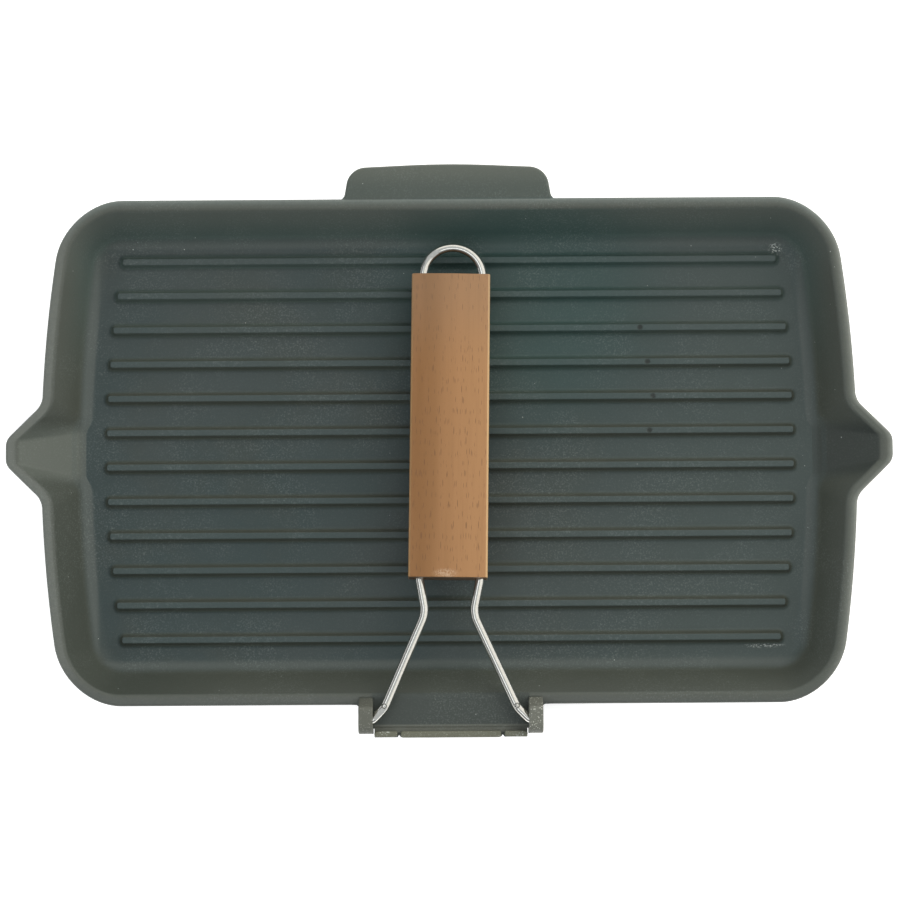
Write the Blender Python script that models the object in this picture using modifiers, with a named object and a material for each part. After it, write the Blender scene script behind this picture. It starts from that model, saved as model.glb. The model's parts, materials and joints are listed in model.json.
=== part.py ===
"""Rectangular ribbed grill pan with two pour spouts, a helper tab and a folding wire handle.

Three pieces: the pan casting, the bent wire handle that is its own hinge pin, and the beech grip.
Metres, +Z up. The origin is under the middle of the pan, on its flat base. +X runs along the pan,
+Y points away from the hinge. The handle is modelled folded over the pan.
"""

import math

import bmesh
import bpy

MM = 0.001

# Pan body, seen from above. Offsets are measured inwards from the rim's outer edge.
HALF_LENGTH = 181.7 * MM
HALF_DEPTH = 112.8 * MM
CORNER_RADIUS = 27.0 * MM
LEAST_CORNER_RADIUS = 6.0 * MM
SIDE_BOW_RADIUS = 600.0 * MM

# Pan wall, in section.
RIM_HEIGHT = 25.0 * MM
RIM_WIDTH = 4.9 * MM
FLOOR_HEIGHT = 5.0 * MM
WALL_SLANT = math.tan(math.radians(30.0))
FLOOR_FILLET = 9.0 * MM
BASE_ROUND = 3.0 * MM
RIM_ROUND = 0.9 * MM
RIM_LAND = 2.0 * MM
FOOT_INSET = 0.2 * MM
FLAT_RUN = 4.0 * MM

# Pour spouts. REACH is how far a spout stands out of the short side.
SPOUT_REACH = 15.8 * MM
SPOUT_TIP_HALF = 5.6 * MM
SPOUT_BASE_HALF = 21.4 * MM
SPOUT_TIP_RADIUS = 12.5 * MM
SPOUT_BASE_RADIUS = 9.0 * MM
SPOUT_ROOT_HALF = 10.3 * MM
SPOUT_ROOT_BASE_HALF = 16.5 * MM
SPOUT_FLOOR_REACH = 2.8 * MM
SPOUT_ROOT_HEIGHT = 3.0 * MM
SPOUT_LIP_HEIGHT = 21.5 * MM
CHANNEL_TIP_HALF = 5.0 * MM
CHANNEL_BASE_HALF = 19.7 * MM
CHANNEL_TIP_RADIUS = 3.0 * MM
CHANNEL_BASE_RADIUS = 13.0 * MM

# Ribs.
RIB_COUNT = 12
RIB_PITCH = 15.53 * MM
RIB_CENTRE_Y = 1.7 * MM
RIB_HEIGHT = 3.5 * MM
RIB_TOP_HALF_WIDTH = 1.4 * MM
RIB_DRAFT = 1.5 * MM
RIB_HALF_LENGTH = 155.3 * MM
RIB_END_BOW_RADIUS = 520.0 * MM
RIB_CORNER_RADIUS = 0.8 * MM
SINK = 0.6 * MM

# Helper tab, on the side away from the hinge.
TAB_REACH_Y = 128.5 * MM
TAB_CROWN = 1.0 * MM
TAB_HALF_WIDTH = 44.5 * MM
TAB_ROOT_HALF_WIDTH = 47.0 * MM
TAB_CORNER_RADIUS = 9.0 * MM
TAB_CROWN_RADIUS = 400.0 * MM
TAB_THICKNESS = 6.0 * MM
TAB_DROP = 0.8 * MM

# Hinge bracket: shelf, lip and ears. Y is measured from the pan's middle towards the hinge.
SHELF_THICKNESS = 6.0 * MM
SHELF_DROP = 0.1 * MM
SHELF_UNDERCUT = 1.0 * MM
LIP_TOP = 28.7 * MM
LIP_BACK_Y = -124.3 * MM
LIP_FRONT_Y = -127.3 * MM
GROOVE_WIDTH = 2.2 * MM
GROOVE_DEPTH = 0.4 * MM
GROOVE_SLOPE_RUN = 0.6 * MM
MIDDLE_LIP_HALF = 22.2 * MM
MIDDLE_LIP_RECESS = 0.1 * MM
PAD_INNER_X = 23.6 * MM
PAD_RECESS = 0.4 * MM
SLIT_WIDTH = 0.5 * MM
SLIT_LENGTH = 4.0 * MM
EAR_INNER_X = 35.0 * MM
EAR_THICKNESS = 5.6 * MM
EAR_TOP = 36.0 * MM
EAR_FRONT_Y = -125.6 * MM
EAR_FRONT_LEAN = 0.4 * MM
EAR_ROOT_Y = -105.0 * MM
EAR_ROOT_Z = 13.0 * MM
EAR_HEEL_Y = -108.9 * MM
EAR_HEEL_Z = 24.3 * MM
EAR_CREST_Y = -113.6 * MM
EAR_CREST_RADIUS = 2.5 * MM
EAR_FRONT_RADIUS = 4.0 * MM

# Hinge and handle. Along the handle, distances are measured from the hinge axis.
HINGE_Y = -119.3 * MM
HINGE_Z = 30.5 * MM
WIRE_RADIUS = 2.0 * MM
EAR_BORE_RADIUS = 2.3 * MM
EAR_MOUTH_RADIUS = 4.2 * MM
EAR_MOUTH_DEPTH = 2.2 * MM
WIRE_END_X = 39.8 * MM
KINK_X = 29.2 * MM
KINK_ALONG = 5.4 * MM
WAIST_X = 10.6 * MM
WAIST_ALONG = 46.9 * MM
WIRE_IN_GRIP_X = 13.3 * MM
WIRE_STRAIGHT_FROM = 61.2 * MM
PIVOT_BEND_RADIUS = 3.5 * MM
KINK_RADIUS = 12.0 * MM
WAIST_RADIUS = 13.0 * MM
ENTRY_RADIUS = 10.0 * MM
GRIP_START = 62.2 * MM
GRIP_LENGTH = 136.1 * MM
GRIP_WIDTH = 35.0 * MM
GRIP_THICKNESS = 16.0 * MM
GRIP_EDGE = 1.0 * MM
GRIP_BORE_RADIUS = 2.4 * MM
GAP = 0.3 * MM
# The bent handle leans a little to one side, and its bores lie a little off the grip's middle.
HANDLE_LEAN = math.radians(0.95)
LEAN_CENTRE = 119.0 * MM
BORE_SHIFT = 0.8 * MM

# Segments of the rounded stretches.
CORNER_STEPS = 8
SPOUT_STEPS = 5
SIDE_STEPS = 4
BEND_STEPS = 4
WAIST_STEPS = 6
FILLET_STEPS = 5
EDGE_STEPS = 2
LOOP_STEPS = 18
BORE_SIDES = 24
WELD = 0.00001
CUT_MARGIN = 2.0 * MM
LEAST_CUT = 0.2 * MM


def clear_scene():
    for item in list(bpy.data.objects):
        bpy.data.objects.remove(item, do_unlink=True)


def new_collection(name):
    made = bpy.data.collections.new(name)
    bpy.context.scene.collection.children.link(made)
    return made


def new_material(name, colour, roughness, metallic):
    made = bpy.data.materials.new(name)
    made.use_nodes = True
    shader = made.node_tree.nodes["Principled BSDF"]
    shader.inputs["Base Color"].default_value = (*colour, 1.0)
    shader.inputs["Roughness"].default_value = roughness
    shader.inputs["Metallic"].default_value = metallic
    return made


def mix(low, high, share):
    return low + (high - low) * share


# ---------------------------------------------------------------- outlines


def rounded_corner(before, corner, after, radius, steps):
    """Points of the arc that rounds a corner. An exact circle, as a rational curve."""
    back = (before[0] - corner[0], before[1] - corner[1])
    ahead = (after[0] - corner[0], after[1] - corner[1])
    back_length = math.hypot(*back)
    ahead_length = math.hypot(*ahead)
    cosine = (back[0] * ahead[0] + back[1] * ahead[1]) / (back_length * ahead_length)
    turn = math.pi - math.acos(max(-1.0, min(1.0, cosine)))
    room = 0.45 * min(back_length, ahead_length)
    cut = min(max(radius * math.tan(turn / 2), LEAST_CUT), room)
    start = [corner[i] + back[i] / back_length * cut for i in (0, 1)]
    end = [corner[i] + ahead[i] / ahead_length * cut for i in (0, 1)]
    weight = math.cos(turn / 2)
    points = []
    for step in range(steps + 1):
        t = step / steps
        a, b, c = (1 - t) ** 2, 2 * t * (1 - t) * weight, t**2
        total = a + b + c
        points.append(tuple((a * start[i] + b * corner[i] + c * end[i]) / total for i in (0, 1)))
    return points


def rounded_path(corners):
    """An open path through (x, y, radius, steps) corners. Its first and last points stay sharp."""
    points = [corners[0][:2]]
    for before, corner, after in zip(corners, corners[1:], corners[2:], strict=False):
        points += rounded_corner(before[:2], corner[:2], after[:2], corner[2], corner[3])
    points.append(corners[-1][:2])
    return points


def rounded_loop(corners):
    """A closed path through (x, y, radius, steps) corners."""
    points = []
    for index, corner in enumerate(corners):
        before = corners[index - 1]
        after = corners[(index + 1) % len(corners)]
        if corner[2] > 0:
            points += rounded_corner(before[:2], corner[:2], after[:2], corner[2], corner[3])
        else:
            points.append(corner[:2])
    return points


def circle_points(radius, centre_x):
    angles = [2 * math.pi * i / BORE_SIDES for i in range(BORE_SIDES)]
    return [(centre_x + radius * math.cos(a), radius * math.sin(a)) for a in angles]


def mirrored_ring(quarter):
    """A closed ring from its quarter, which runs from the +X axis to the +Y axis."""
    ring = list(quarter)
    ring += [(-x, y) for x, y in reversed(quarter[:-1])]
    ring += [(-x, -y) for x, y in quarter[1:]]
    ring += [(x, -y) for x, y in reversed(quarter[1:-1])]
    return ring


def pan_ring(offset, reach, tip_half, base_half, tip_radius, base_radius):
    """The pan's outline, offset inwards, with a spout that stands out by reach."""
    side = HALF_LENGTH - offset
    depth = HALF_DEPTH - offset
    corner = max(CORNER_RADIUS - offset, LEAST_CORNER_RADIUS)
    quarter = rounded_path(
        [
            (side + reach, 0.0, 0.0, 0),
            (side + reach, tip_half, tip_radius, SPOUT_STEPS),
            (side, base_half, base_radius, SPOUT_STEPS),
            (side, depth, corner, CORNER_STEPS),
            (0.0, depth, 0.0, 0),
        ]
    )
    last_of_spout = 2 * (SPOUT_STEPS + 1)
    low = quarter[last_of_spout][1]
    high = quarter[last_of_spout + 1][1]
    side_points = [(side, mix(low, high, step / SIDE_STEPS)) for step in range(1, SIDE_STEPS)]
    quarter[last_of_spout + 1 : last_of_spout + 1] = side_points
    bowed = [(x * (1 - y * y / (2 * SIDE_BOW_RADIUS * side)), y) for x, y in quarter]
    return mirrored_ring(bowed)


# ---------------------------------------------------------------- mesh helpers


def mesh_object(name, mesh, collection, material=None):
    made = bpy.data.objects.new(name, mesh)
    collection.objects.link(made)
    if material is not None:
        mesh.materials.append(material)
    return made


def lofted_mesh(name, rings):
    """A closed mesh through rings of (x, y) points at given heights, capped at both ends."""
    shape = bmesh.new()
    rows = [[shape.verts.new((x, y, z)) for x, y in ring] for z, ring in rings]
    for low, high in zip(rows, rows[1:], strict=False):
        count = len(low)
        for i in range(count):
            j = (i + 1) % count
            shape.faces.new((low[i], low[j], high[j], high[i]))
    shape.faces.new(list(reversed(rows[0])))
    shape.faces.new(rows[-1])
    return finished_mesh(name, shape)


def finished_mesh(name, shape):
    bmesh.ops.recalc_face_normals(shape, faces=shape.faces)
    mesh = bpy.data.meshes.new(name)
    shape.to_mesh(mesh)
    shape.free()
    return mesh


def curve_to_mesh(curve_object, name):
    """The curve's evaluated mesh with its caps welded on. The curve is removed."""
    depsgraph = bpy.context.evaluated_depsgraph_get()
    mesh = bpy.data.meshes.new_from_object(curve_object.evaluated_get(depsgraph))
    mesh.name = name
    shape = bmesh.new()
    shape.from_mesh(mesh)
    bmesh.ops.remove_doubles(shape, verts=shape.verts, dist=WELD)
    bmesh.ops.recalc_face_normals(shape, faces=shape.faces)
    shape.to_mesh(mesh)
    shape.free()
    curve = curve_object.data
    bpy.data.objects.remove(curve_object)
    bpy.data.curves.remove(curve)
    return mesh


def poly_curve(name, points, dimensions, closed):
    curve = bpy.data.curves.new(name, "CURVE")
    curve.dimensions = dimensions
    spline = curve.splines.new("POLY")
    spline.points.add(len(points) - 1)
    for spot, point in zip(spline.points, points, strict=True):
        spot.co = (*point, 0.0, 1.0)
    spline.use_cyclic_u = closed
    return curve


def plate_mesh(name, outline, thickness):
    """A flat outline in XY, thickened equally up and down."""
    curve = poly_curve(name, outline, "2D", True)
    curve.fill_mode = "BOTH"
    curve.extrude = thickness / 2
    holder = bpy.data.objects.new(name, curve)
    bpy.context.scene.collection.objects.link(holder)
    bpy.context.view_layer.update()
    return curve_to_mesh(holder, name)


def boolean(target, operation, tool):
    step = target.modifiers.new(f"{operation.lower()}_{tool.name}", "BOOLEAN")
    step.operation = operation
    step.solver = "EXACT"
    step.object = tool


def as_tool(item):
    item.hide_render = True
    item.display_type = "WIRE"
    return item


def joined_mesh(name, meshes):
    """Several meshes as one mesh of separate bodies."""
    shape = bmesh.new()
    for mesh in meshes:
        shape.from_mesh(mesh)
    return finished_mesh(name, shape)


def block_mesh(name, low, high):
    """A box between two opposite corners."""
    shape = bmesh.new()
    bmesh.ops.create_cube(shape, size=1.0)
    for vert in shape.verts:
        for axis in range(3):
            vert.co[axis] = mix(low[axis], high[axis], vert.co[axis] + 0.5)
    return finished_mesh(name, shape)


# ---------------------------------------------------------------- pan casting


def outer_rings():
    """The casting's outside, from the flat base up to the rim's outer edge."""
    foot = (RIM_HEIGHT - RIM_LAND) * WALL_SLANT + FOOT_INSET
    profile = rounded_path(
        [
            (foot + FLAT_RUN, 0.0, 0.0, 0),
            (foot, 0.0, BASE_ROUND, EDGE_STEPS),
            (0.0, RIM_HEIGHT - RIM_LAND, RIM_ROUND, EDGE_STEPS),
            (0.0, RIM_HEIGHT, RIM_ROUND, EDGE_STEPS),
            (RIM_WIDTH / 2, RIM_HEIGHT, 0.0, 0),
        ]
    )
    rings = []
    for offset, z in profile:
        drop = (SPOUT_LIP_HEIGHT - z) / (SPOUT_LIP_HEIGHT - SPOUT_ROOT_HEIGHT)
        drop = min(1.0, max(0.0, drop))
        ring = pan_ring(
            offset,
            mix(SPOUT_REACH, 0.0, drop),
            mix(SPOUT_TIP_HALF, SPOUT_ROOT_HALF, drop),
            mix(SPOUT_BASE_HALF, SPOUT_ROOT_BASE_HALF, drop),
            SPOUT_TIP_RADIUS - offset * (1 - drop),
            SPOUT_BASE_RADIUS,
        )
        rings.append((z, ring))
    return rings


def inner_rings():
    """The cavity, from the rim's inner edge down the walls and spout channels to the floor."""
    depth = RIM_HEIGHT - FLOOR_HEIGHT
    floor_edge = RIM_WIDTH + depth * WALL_SLANT
    profile = rounded_path(
        [
            (RIM_WIDTH / 2, RIM_HEIGHT, 0.0, 0),
            (RIM_WIDTH, RIM_HEIGHT, RIM_ROUND, EDGE_STEPS),
            (floor_edge, FLOOR_HEIGHT, FLOOR_FILLET, FILLET_STEPS),
            (floor_edge + FLAT_RUN, FLOOR_HEIGHT, 0.0, 0),
        ]
    )
    channel_top = HALF_LENGTH + SPOUT_REACH - RIM_WIDTH
    channel_foot = HALF_LENGTH - floor_edge - FLAT_RUN + SPOUT_FLOOR_REACH
    rings = []
    for offset, z in profile[1:-1]:
        drop = (RIM_HEIGHT - z) / depth
        tip = mix(channel_top, channel_foot, drop) - min(0.0, offset - RIM_WIDTH)
        ring = pan_ring(
            offset,
            tip - (HALF_LENGTH - offset),
            mix(CHANNEL_TIP_HALF, SPOUT_ROOT_HALF, drop),
            mix(CHANNEL_BASE_HALF, SPOUT_ROOT_BASE_HALF, drop),
            CHANNEL_TIP_RADIUS,
            CHANNEL_BASE_RADIUS,
        )
        rings.append((z, ring))
    return rings


def rib_mesh(index):
    """One drafted rib, sunk a little into the floor that it is joined to."""
    from_middle = (index - (RIB_COUNT - 1) / 2) * RIB_PITCH
    y = RIB_CENTRE_Y + from_middle
    half_length = RIB_HALF_LENGTH - from_middle**2 / (2 * RIB_END_BOW_RADIUS)
    total = RIB_HEIGHT + SINK
    draft = RIB_DRAFT * total / RIB_HEIGHT
    rings = []
    for z, spread in ((FLOOR_HEIGHT - SINK, draft), (FLOOR_HEIGHT + RIB_HEIGHT, 0.0)):
        end = half_length + spread
        side = RIB_TOP_HALF_WIDTH + spread
        corners = [(end, side), (-end, side), (-end, -side), (end, -side)]
        outline = rounded_loop([(x, dy, RIB_CORNER_RADIUS, EDGE_STEPS) for x, dy in corners])
        rings.append((z, [(x, y + dy) for x, dy in outline]))
    return lofted_mesh(f"rib_{index}", rings)


def tab_tool(collection):
    """The helper tab: a plate with a crowned front and rounded corners."""
    front = TAB_REACH_Y - TAB_CROWN
    root_y = HALF_DEPTH - RIM_WIDTH / 2
    corners = [
        (TAB_ROOT_HALF_WIDTH, root_y, 0.0, 0),
        (TAB_HALF_WIDTH, front, TAB_CORNER_RADIUS, CORNER_STEPS),
        (0.0, TAB_REACH_Y + TAB_CROWN, TAB_CROWN_RADIUS, CORNER_STEPS),
        (-TAB_HALF_WIDTH, front, TAB_CORNER_RADIUS, CORNER_STEPS),
        (-TAB_ROOT_HALF_WIDTH, root_y, 0.0, 0),
    ]
    outline = rounded_loop(corners)
    reach = max(y for _, y in outline)
    shrink = (TAB_REACH_Y - root_y) / (reach - root_y)
    fitted = [(x, root_y + (y - root_y) * shrink) for x, y in outline]
    tool = mesh_object("tab_block", plate_mesh("tab_block", fitted, TAB_THICKNESS), collection)
    tool.location.z = RIM_HEIGHT - TAB_DROP - TAB_THICKNESS / 2
    return as_tool(tool)


def shelf_tool(collection):
    """The shelf between the ears, level with the rim, with a shallow groove behind the lip."""
    top = RIM_HEIGHT - SHELF_DROP
    bottom = RIM_HEIGHT - SHELF_THICKNESS
    root_y = -HALF_DEPTH + RIM_WIDTH / 2
    half = EAR_INNER_X + SINK
    groove_y = LIP_BACK_Y + GROOVE_WIDTH
    profile = [
        (root_y, bottom),
        (root_y, top),
        (groove_y, top),
        (groove_y - GROOVE_SLOPE_RUN, top - GROOVE_DEPTH),
        (LIP_FRONT_Y, top - GROOVE_DEPTH),
        (LIP_FRONT_Y + SHELF_UNDERCUT, bottom),
    ]
    return side_profile_tool("shelf_block", profile, -half, half, collection)


def side_profile_tool(name, profile, low_x, high_x, collection):
    """A (y, z) outline drawn out along X from low_x to high_x."""
    mesh = plate_mesh(name, profile, high_x - low_x)
    tool = mesh_object(name, mesh, collection)
    tool.rotation_euler = (math.pi / 2, 0.0, math.pi / 2)
    tool.location.x = (low_x + high_x) / 2
    return as_tool(tool)


def lip_tool(collection):
    """The stop lip: a middle bar and two end pads, which the unfolded wire rests on."""
    low = RIM_HEIGHT - GROOVE_DEPTH - SHELF_DROP - SINK
    pad_outer = EAR_INNER_X - SLIT_WIDTH
    spans = [
        (-pad_outer, -PAD_INNER_X, PAD_RECESS),
        (-MIDDLE_LIP_HALF, MIDDLE_LIP_HALF, MIDDLE_LIP_RECESS),
        (PAD_INNER_X, pad_outer, PAD_RECESS),
    ]
    blocks = []
    for index, (left, right, recess) in enumerate(spans):
        near = (left, LIP_FRONT_Y + recess, low)
        far = (right, LIP_BACK_Y, LIP_TOP)
        blocks.append(block_mesh(f"lip_{index}", near, far))
    return as_tool(mesh_object("lip_blocks", joined_mesh("lip_blocks", blocks), collection))


def slit_tool(collection):
    """Narrow slits that part the end pads from the ears, and end the shelf at the ears' fronts."""
    front = LIP_FRONT_Y - CUT_MARGIN
    back = LIP_FRONT_Y + SLIT_LENGTH
    low = RIM_HEIGHT - 2 * SHELF_THICKNESS
    high = LIP_TOP + CUT_MARGIN
    near = EAR_INNER_X - SLIT_WIDTH
    far = EAR_INNER_X + 2 * SINK
    outline = [
        (near, front),
        (far, front),
        (far, EAR_FRONT_Y),
        (EAR_INNER_X, EAR_FRONT_Y),
        (EAR_INNER_X, back),
        (near, back),
    ]
    blocks = []
    for side in (-1, 1):
        ring = [(side * x, y) for x, y in outline]
        blocks.append(lofted_mesh(f"slit_{side}", [(low, ring), (high, ring)]))
    return as_tool(mesh_object("slit_blocks", joined_mesh("slit_blocks", blocks), collection))


def ear_tool(side, collection):
    """One ear: it slopes up from the rim to a flat top, and has a rounded front."""
    outline = rounded_loop(
        [
            (EAR_ROOT_Y, EAR_ROOT_Z, 0.0, 0),
            (EAR_HEEL_Y, EAR_HEEL_Z, 0.0, 0),
            (EAR_CREST_Y, EAR_TOP, EAR_CREST_RADIUS, EDGE_STEPS),
            (EAR_FRONT_Y + EAR_FRONT_LEAN, EAR_TOP, EAR_FRONT_RADIUS, FILLET_STEPS),
            (EAR_FRONT_Y, RIM_HEIGHT - SHELF_THICKNESS, EAR_CREST_RADIUS, EDGE_STEPS),
        ]
    )
    edges = sorted((side * EAR_INNER_X, side * (EAR_INNER_X + EAR_THICKNESS)))
    name = "ear_left" if side < 0 else "ear_right"
    return side_profile_tool(name, outline, edges[0], edges[1], collection)


def bore_tool(side, collection):
    """The ear's through bore, flared at its inner mouth, as one turned cutter along X."""
    inner = EAR_INNER_X
    outer = EAR_INNER_X + EAR_THICKNESS + CUT_MARGIN
    flare = (EAR_MOUTH_RADIUS - EAR_BORE_RADIUS) / EAR_MOUTH_DEPTH
    stations = [
        (inner - CUT_MARGIN, EAR_MOUTH_RADIUS + flare * CUT_MARGIN),
        (inner + EAR_MOUTH_DEPTH, EAR_BORE_RADIUS),
        (outer, EAR_BORE_RADIUS),
    ]
    rings = [(along, circle_points(radius, 0.0)) for along, radius in stations]
    name = "bore_left" if side < 0 else "bore_right"
    tool = mesh_object(name, lofted_mesh(name, rings), collection)
    tool.rotation_euler = (0.0, side * math.pi / 2, 0.0)
    tool.location = (0.0, HINGE_Y, HINGE_Z)
    return as_tool(tool)


def build_pan(parts, cutters):
    coating = new_material("seasoned_cast_iron", (0.055, 0.070, 0.066), 0.55, 0.3)
    body = lofted_mesh("pan_casting", outer_rings() + inner_rings())
    pan = mesh_object("pan_casting", body, parts, coating)
    ribs = joined_mesh("rib_blocks", [rib_mesh(i) for i in range(RIB_COUNT)])
    boolean(pan, "UNION", as_tool(mesh_object("rib_blocks", ribs, cutters)))
    boolean(pan, "UNION", tab_tool(cutters))
    boolean(pan, "UNION", shelf_tool(cutters))
    for side in (-1, 1):
        boolean(pan, "UNION", ear_tool(side, cutters))
    boolean(pan, "UNION", lip_tool(cutters))
    boolean(pan, "DIFFERENCE", slit_tool(cutters))
    for side in (-1, 1):
        boolean(pan, "DIFFERENCE", bore_tool(side, cutters))
    return pan


# ---------------------------------------------------------------- handle


def rest_slope():
    """How far the folded handle slopes down, so that the grip's far edge rests on the ribs."""
    drop = HINGE_Z - (FLOOR_HEIGHT + RIB_HEIGHT + GAP)
    grip_end = GRIP_START + GRIP_LENGTH
    reach = math.hypot(grip_end, GRIP_THICKNESS / 2)
    return math.asin(drop / reach) - math.atan2(GRIP_THICKNESS / 2, grip_end)


def leaned(x, along):
    """Where a point of the leaning grip's own plane lies across and along the handle."""
    ahead = along - LEAN_CENTRE
    across = x * math.cos(HANDLE_LEAN) + ahead * math.sin(HANDLE_LEAN)
    return across, LEAN_CENTRE + ahead * math.cos(HANDLE_LEAN) - x * math.sin(HANDLE_LEAN)


def leg_path(side, loop_centre):
    """One side of the wire's centreline, from its pivot end to the start of the loop."""
    in_grip_x = BORE_SHIFT + side * WIRE_IN_GRIP_X
    waist_x = BORE_SHIFT + side * WAIST_X
    return rounded_path(
        [
            (side * WIRE_END_X, 0.0, 0.0, 0),
            (side * (KINK_X + KINK_ALONG), 0.0, PIVOT_BEND_RADIUS, BEND_STEPS),
            (side * KINK_X, KINK_ALONG, KINK_RADIUS, BEND_STEPS),
            (*leaned(waist_x, WAIST_ALONG), WAIST_RADIUS, WAIST_STEPS),
            (*leaned(in_grip_x, WIRE_STRAIGHT_FROM), ENTRY_RADIUS, EDGE_STEPS),
            (*leaned(in_grip_x, loop_centre), 0.0, 0),
        ]
    )


def wire_path():
    """The wire's centreline in the handle's own plane, from one pivot end to the other."""
    loop_centre = GRIP_START + GRIP_LENGTH
    arc = []
    for step in range(1, LOOP_STEPS):
        angle = math.pi * step / LOOP_STEPS
        across = BORE_SHIFT + WIRE_IN_GRIP_X * math.cos(angle)
        arc.append(leaned(across, loop_centre + WIRE_IN_GRIP_X * math.sin(angle)))
    return leg_path(1, loop_centre) + arc + list(reversed(leg_path(-1, loop_centre)))


def build_wire(parts, hinge):
    chrome = new_material("bright_chrome", (0.80, 0.79, 0.76), 0.12, 1.0)
    curve = poly_curve("handle_wire", wire_path(), "3D", False)
    curve.bevel_depth = WIRE_RADIUS
    curve.bevel_resolution = 3
    curve.use_fill_caps = True
    holder = bpy.data.objects.new("handle_wire_curve", curve)
    bpy.context.scene.collection.objects.link(holder)
    bpy.context.view_layer.update()
    wire = mesh_object("handle_wire", curve_to_mesh(holder, "handle_wire"), parts, chrome)
    wire.data.shade_smooth()
    wire.data.set_sharp_from_angle(angle=math.radians(40))
    wire.parent = hinge
    return wire


def grip_bore_mesh():
    meshes = []
    for side in (-1, 1):
        circle = circle_points(GRIP_BORE_RADIUS, BORE_SHIFT + side * WIRE_IN_GRIP_X)
        rings = [(-CUT_MARGIN, circle), (GRIP_LENGTH + CUT_MARGIN, circle)]
        meshes.append(lofted_mesh(f"grip_bore_{side}", rings))
    return joined_mesh("grip_bores", meshes)


def build_grip(parts, cutters, hinge):
    beech = new_material("oiled_beech", (0.42, 0.24, 0.12), 0.5, 0.0)
    half_width = GRIP_WIDTH / 2
    half_thickness = GRIP_THICKNESS / 2
    low = (-half_width, 0.0, -half_thickness)
    high = (half_width, GRIP_LENGTH, half_thickness)
    grip = mesh_object("wood_grip", block_mesh("wood_grip", low, high), parts, beech)
    edge = grip.modifiers.new("rounded_edges", "BEVEL")
    edge.width = GRIP_EDGE
    edge.segments = 2
    bores = as_tool(mesh_object("grip_bores", grip_bore_mesh(), cutters))
    bores.rotation_euler = (-math.pi / 2, 0.0, 0.0)
    bores.parent = grip
    boolean(grip, "DIFFERENCE", bores)
    grip.parent = hinge
    grip.location = (*leaned(0.0, GRIP_START), 0.0)
    grip.rotation_euler.z = -HANDLE_LEAN
    return grip


def build_handle(parts, cutters):
    """The wire and the grip hang on an empty that lies on the hinge axis."""
    hinge = bpy.data.objects.new("handle_hinge", None)
    parts.objects.link(hinge)
    hinge.location = (0.0, HINGE_Y, HINGE_Z)
    hinge.rotation_euler.x = -rest_slope()
    build_wire(parts, hinge)
    build_grip(parts, cutters, hinge)


def main():
    clear_scene()
    parts = new_collection("grill_pan")
    cutters = new_collection("grill_pan_cutters")
    build_pan(parts, cutters)
    build_handle(parts, cutters)
    bpy.context.view_layer.update()


main()
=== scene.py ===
"""Looks of a rectangular ribbed cast grill pan with a folding wire handle and a beech grip.

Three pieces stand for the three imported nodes: the casting, the bent wire and the grip. They repeat the
part's outlines with fine roundings. The pan is modelled in the frame's own axes. The wire and the grip are
modelled in the handle's plane: X across it, Y along it from the hinge axis, Z up out of it.
"""

import json
import math

import bmesh
import bpy
from mathutils import Matrix, Vector


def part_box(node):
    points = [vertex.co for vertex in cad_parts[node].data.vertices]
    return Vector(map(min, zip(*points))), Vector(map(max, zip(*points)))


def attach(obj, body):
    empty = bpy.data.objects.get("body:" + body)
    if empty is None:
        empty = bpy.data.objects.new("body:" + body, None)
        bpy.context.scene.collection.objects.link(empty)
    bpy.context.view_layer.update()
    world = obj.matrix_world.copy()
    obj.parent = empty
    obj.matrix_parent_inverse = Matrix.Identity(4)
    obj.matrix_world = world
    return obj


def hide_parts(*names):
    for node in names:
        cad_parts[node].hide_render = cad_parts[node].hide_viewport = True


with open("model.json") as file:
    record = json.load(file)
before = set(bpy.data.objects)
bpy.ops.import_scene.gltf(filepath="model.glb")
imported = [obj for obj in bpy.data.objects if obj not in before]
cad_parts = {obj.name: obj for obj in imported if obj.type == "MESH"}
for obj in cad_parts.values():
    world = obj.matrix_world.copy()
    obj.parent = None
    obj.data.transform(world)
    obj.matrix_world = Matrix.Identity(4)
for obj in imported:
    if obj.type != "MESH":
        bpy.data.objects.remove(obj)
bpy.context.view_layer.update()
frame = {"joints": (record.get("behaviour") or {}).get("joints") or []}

MM = 0.001

pan_low, pan_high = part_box("pan_casting")
wire_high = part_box("handle_wire")[1]
HINGE = Vector(frame["joints"][0]["pos_m"])

# Pan body, seen from above. Offsets are measured inwards from the rim's outer edge.
HALF_LENGTH = 181.7 * MM
HALF_DEPTH = 112.8 * MM
CORNER_RADIUS = 27.0 * MM
LEAST_CORNER_RADIUS = 6.0 * MM
SIDE_BOW_RADIUS = 600.0 * MM
RIM_BITE = 0.4 * MM

# Pan wall, in section.
RIM_HEIGHT = 25.0 * MM
RIM_WIDTH = 4.9 * MM
RIM_LAND = 3.0 * MM
RIM_ROUND = 1.6 * MM
RIM_CROWN_RADIUS = 12.0 * MM
RIM_OUTER_DROP = 0.35 * MM
RIM_INNER_DROP = 0.3 * MM
RIM_INNER_ROUND = 2.2 * MM
FLOOR_HEIGHT = 5.0 * MM
FLOOR_FILLET = 9.5 * MM
WALL_SLANT = math.tan(math.radians(30.0))
FOOT_INSET = 0.2 * MM
BASE_ROUND = 3.0 * MM
FLAT_RUN = 4.0 * MM
FLOOR_RUN = 12.0 * MM

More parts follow.
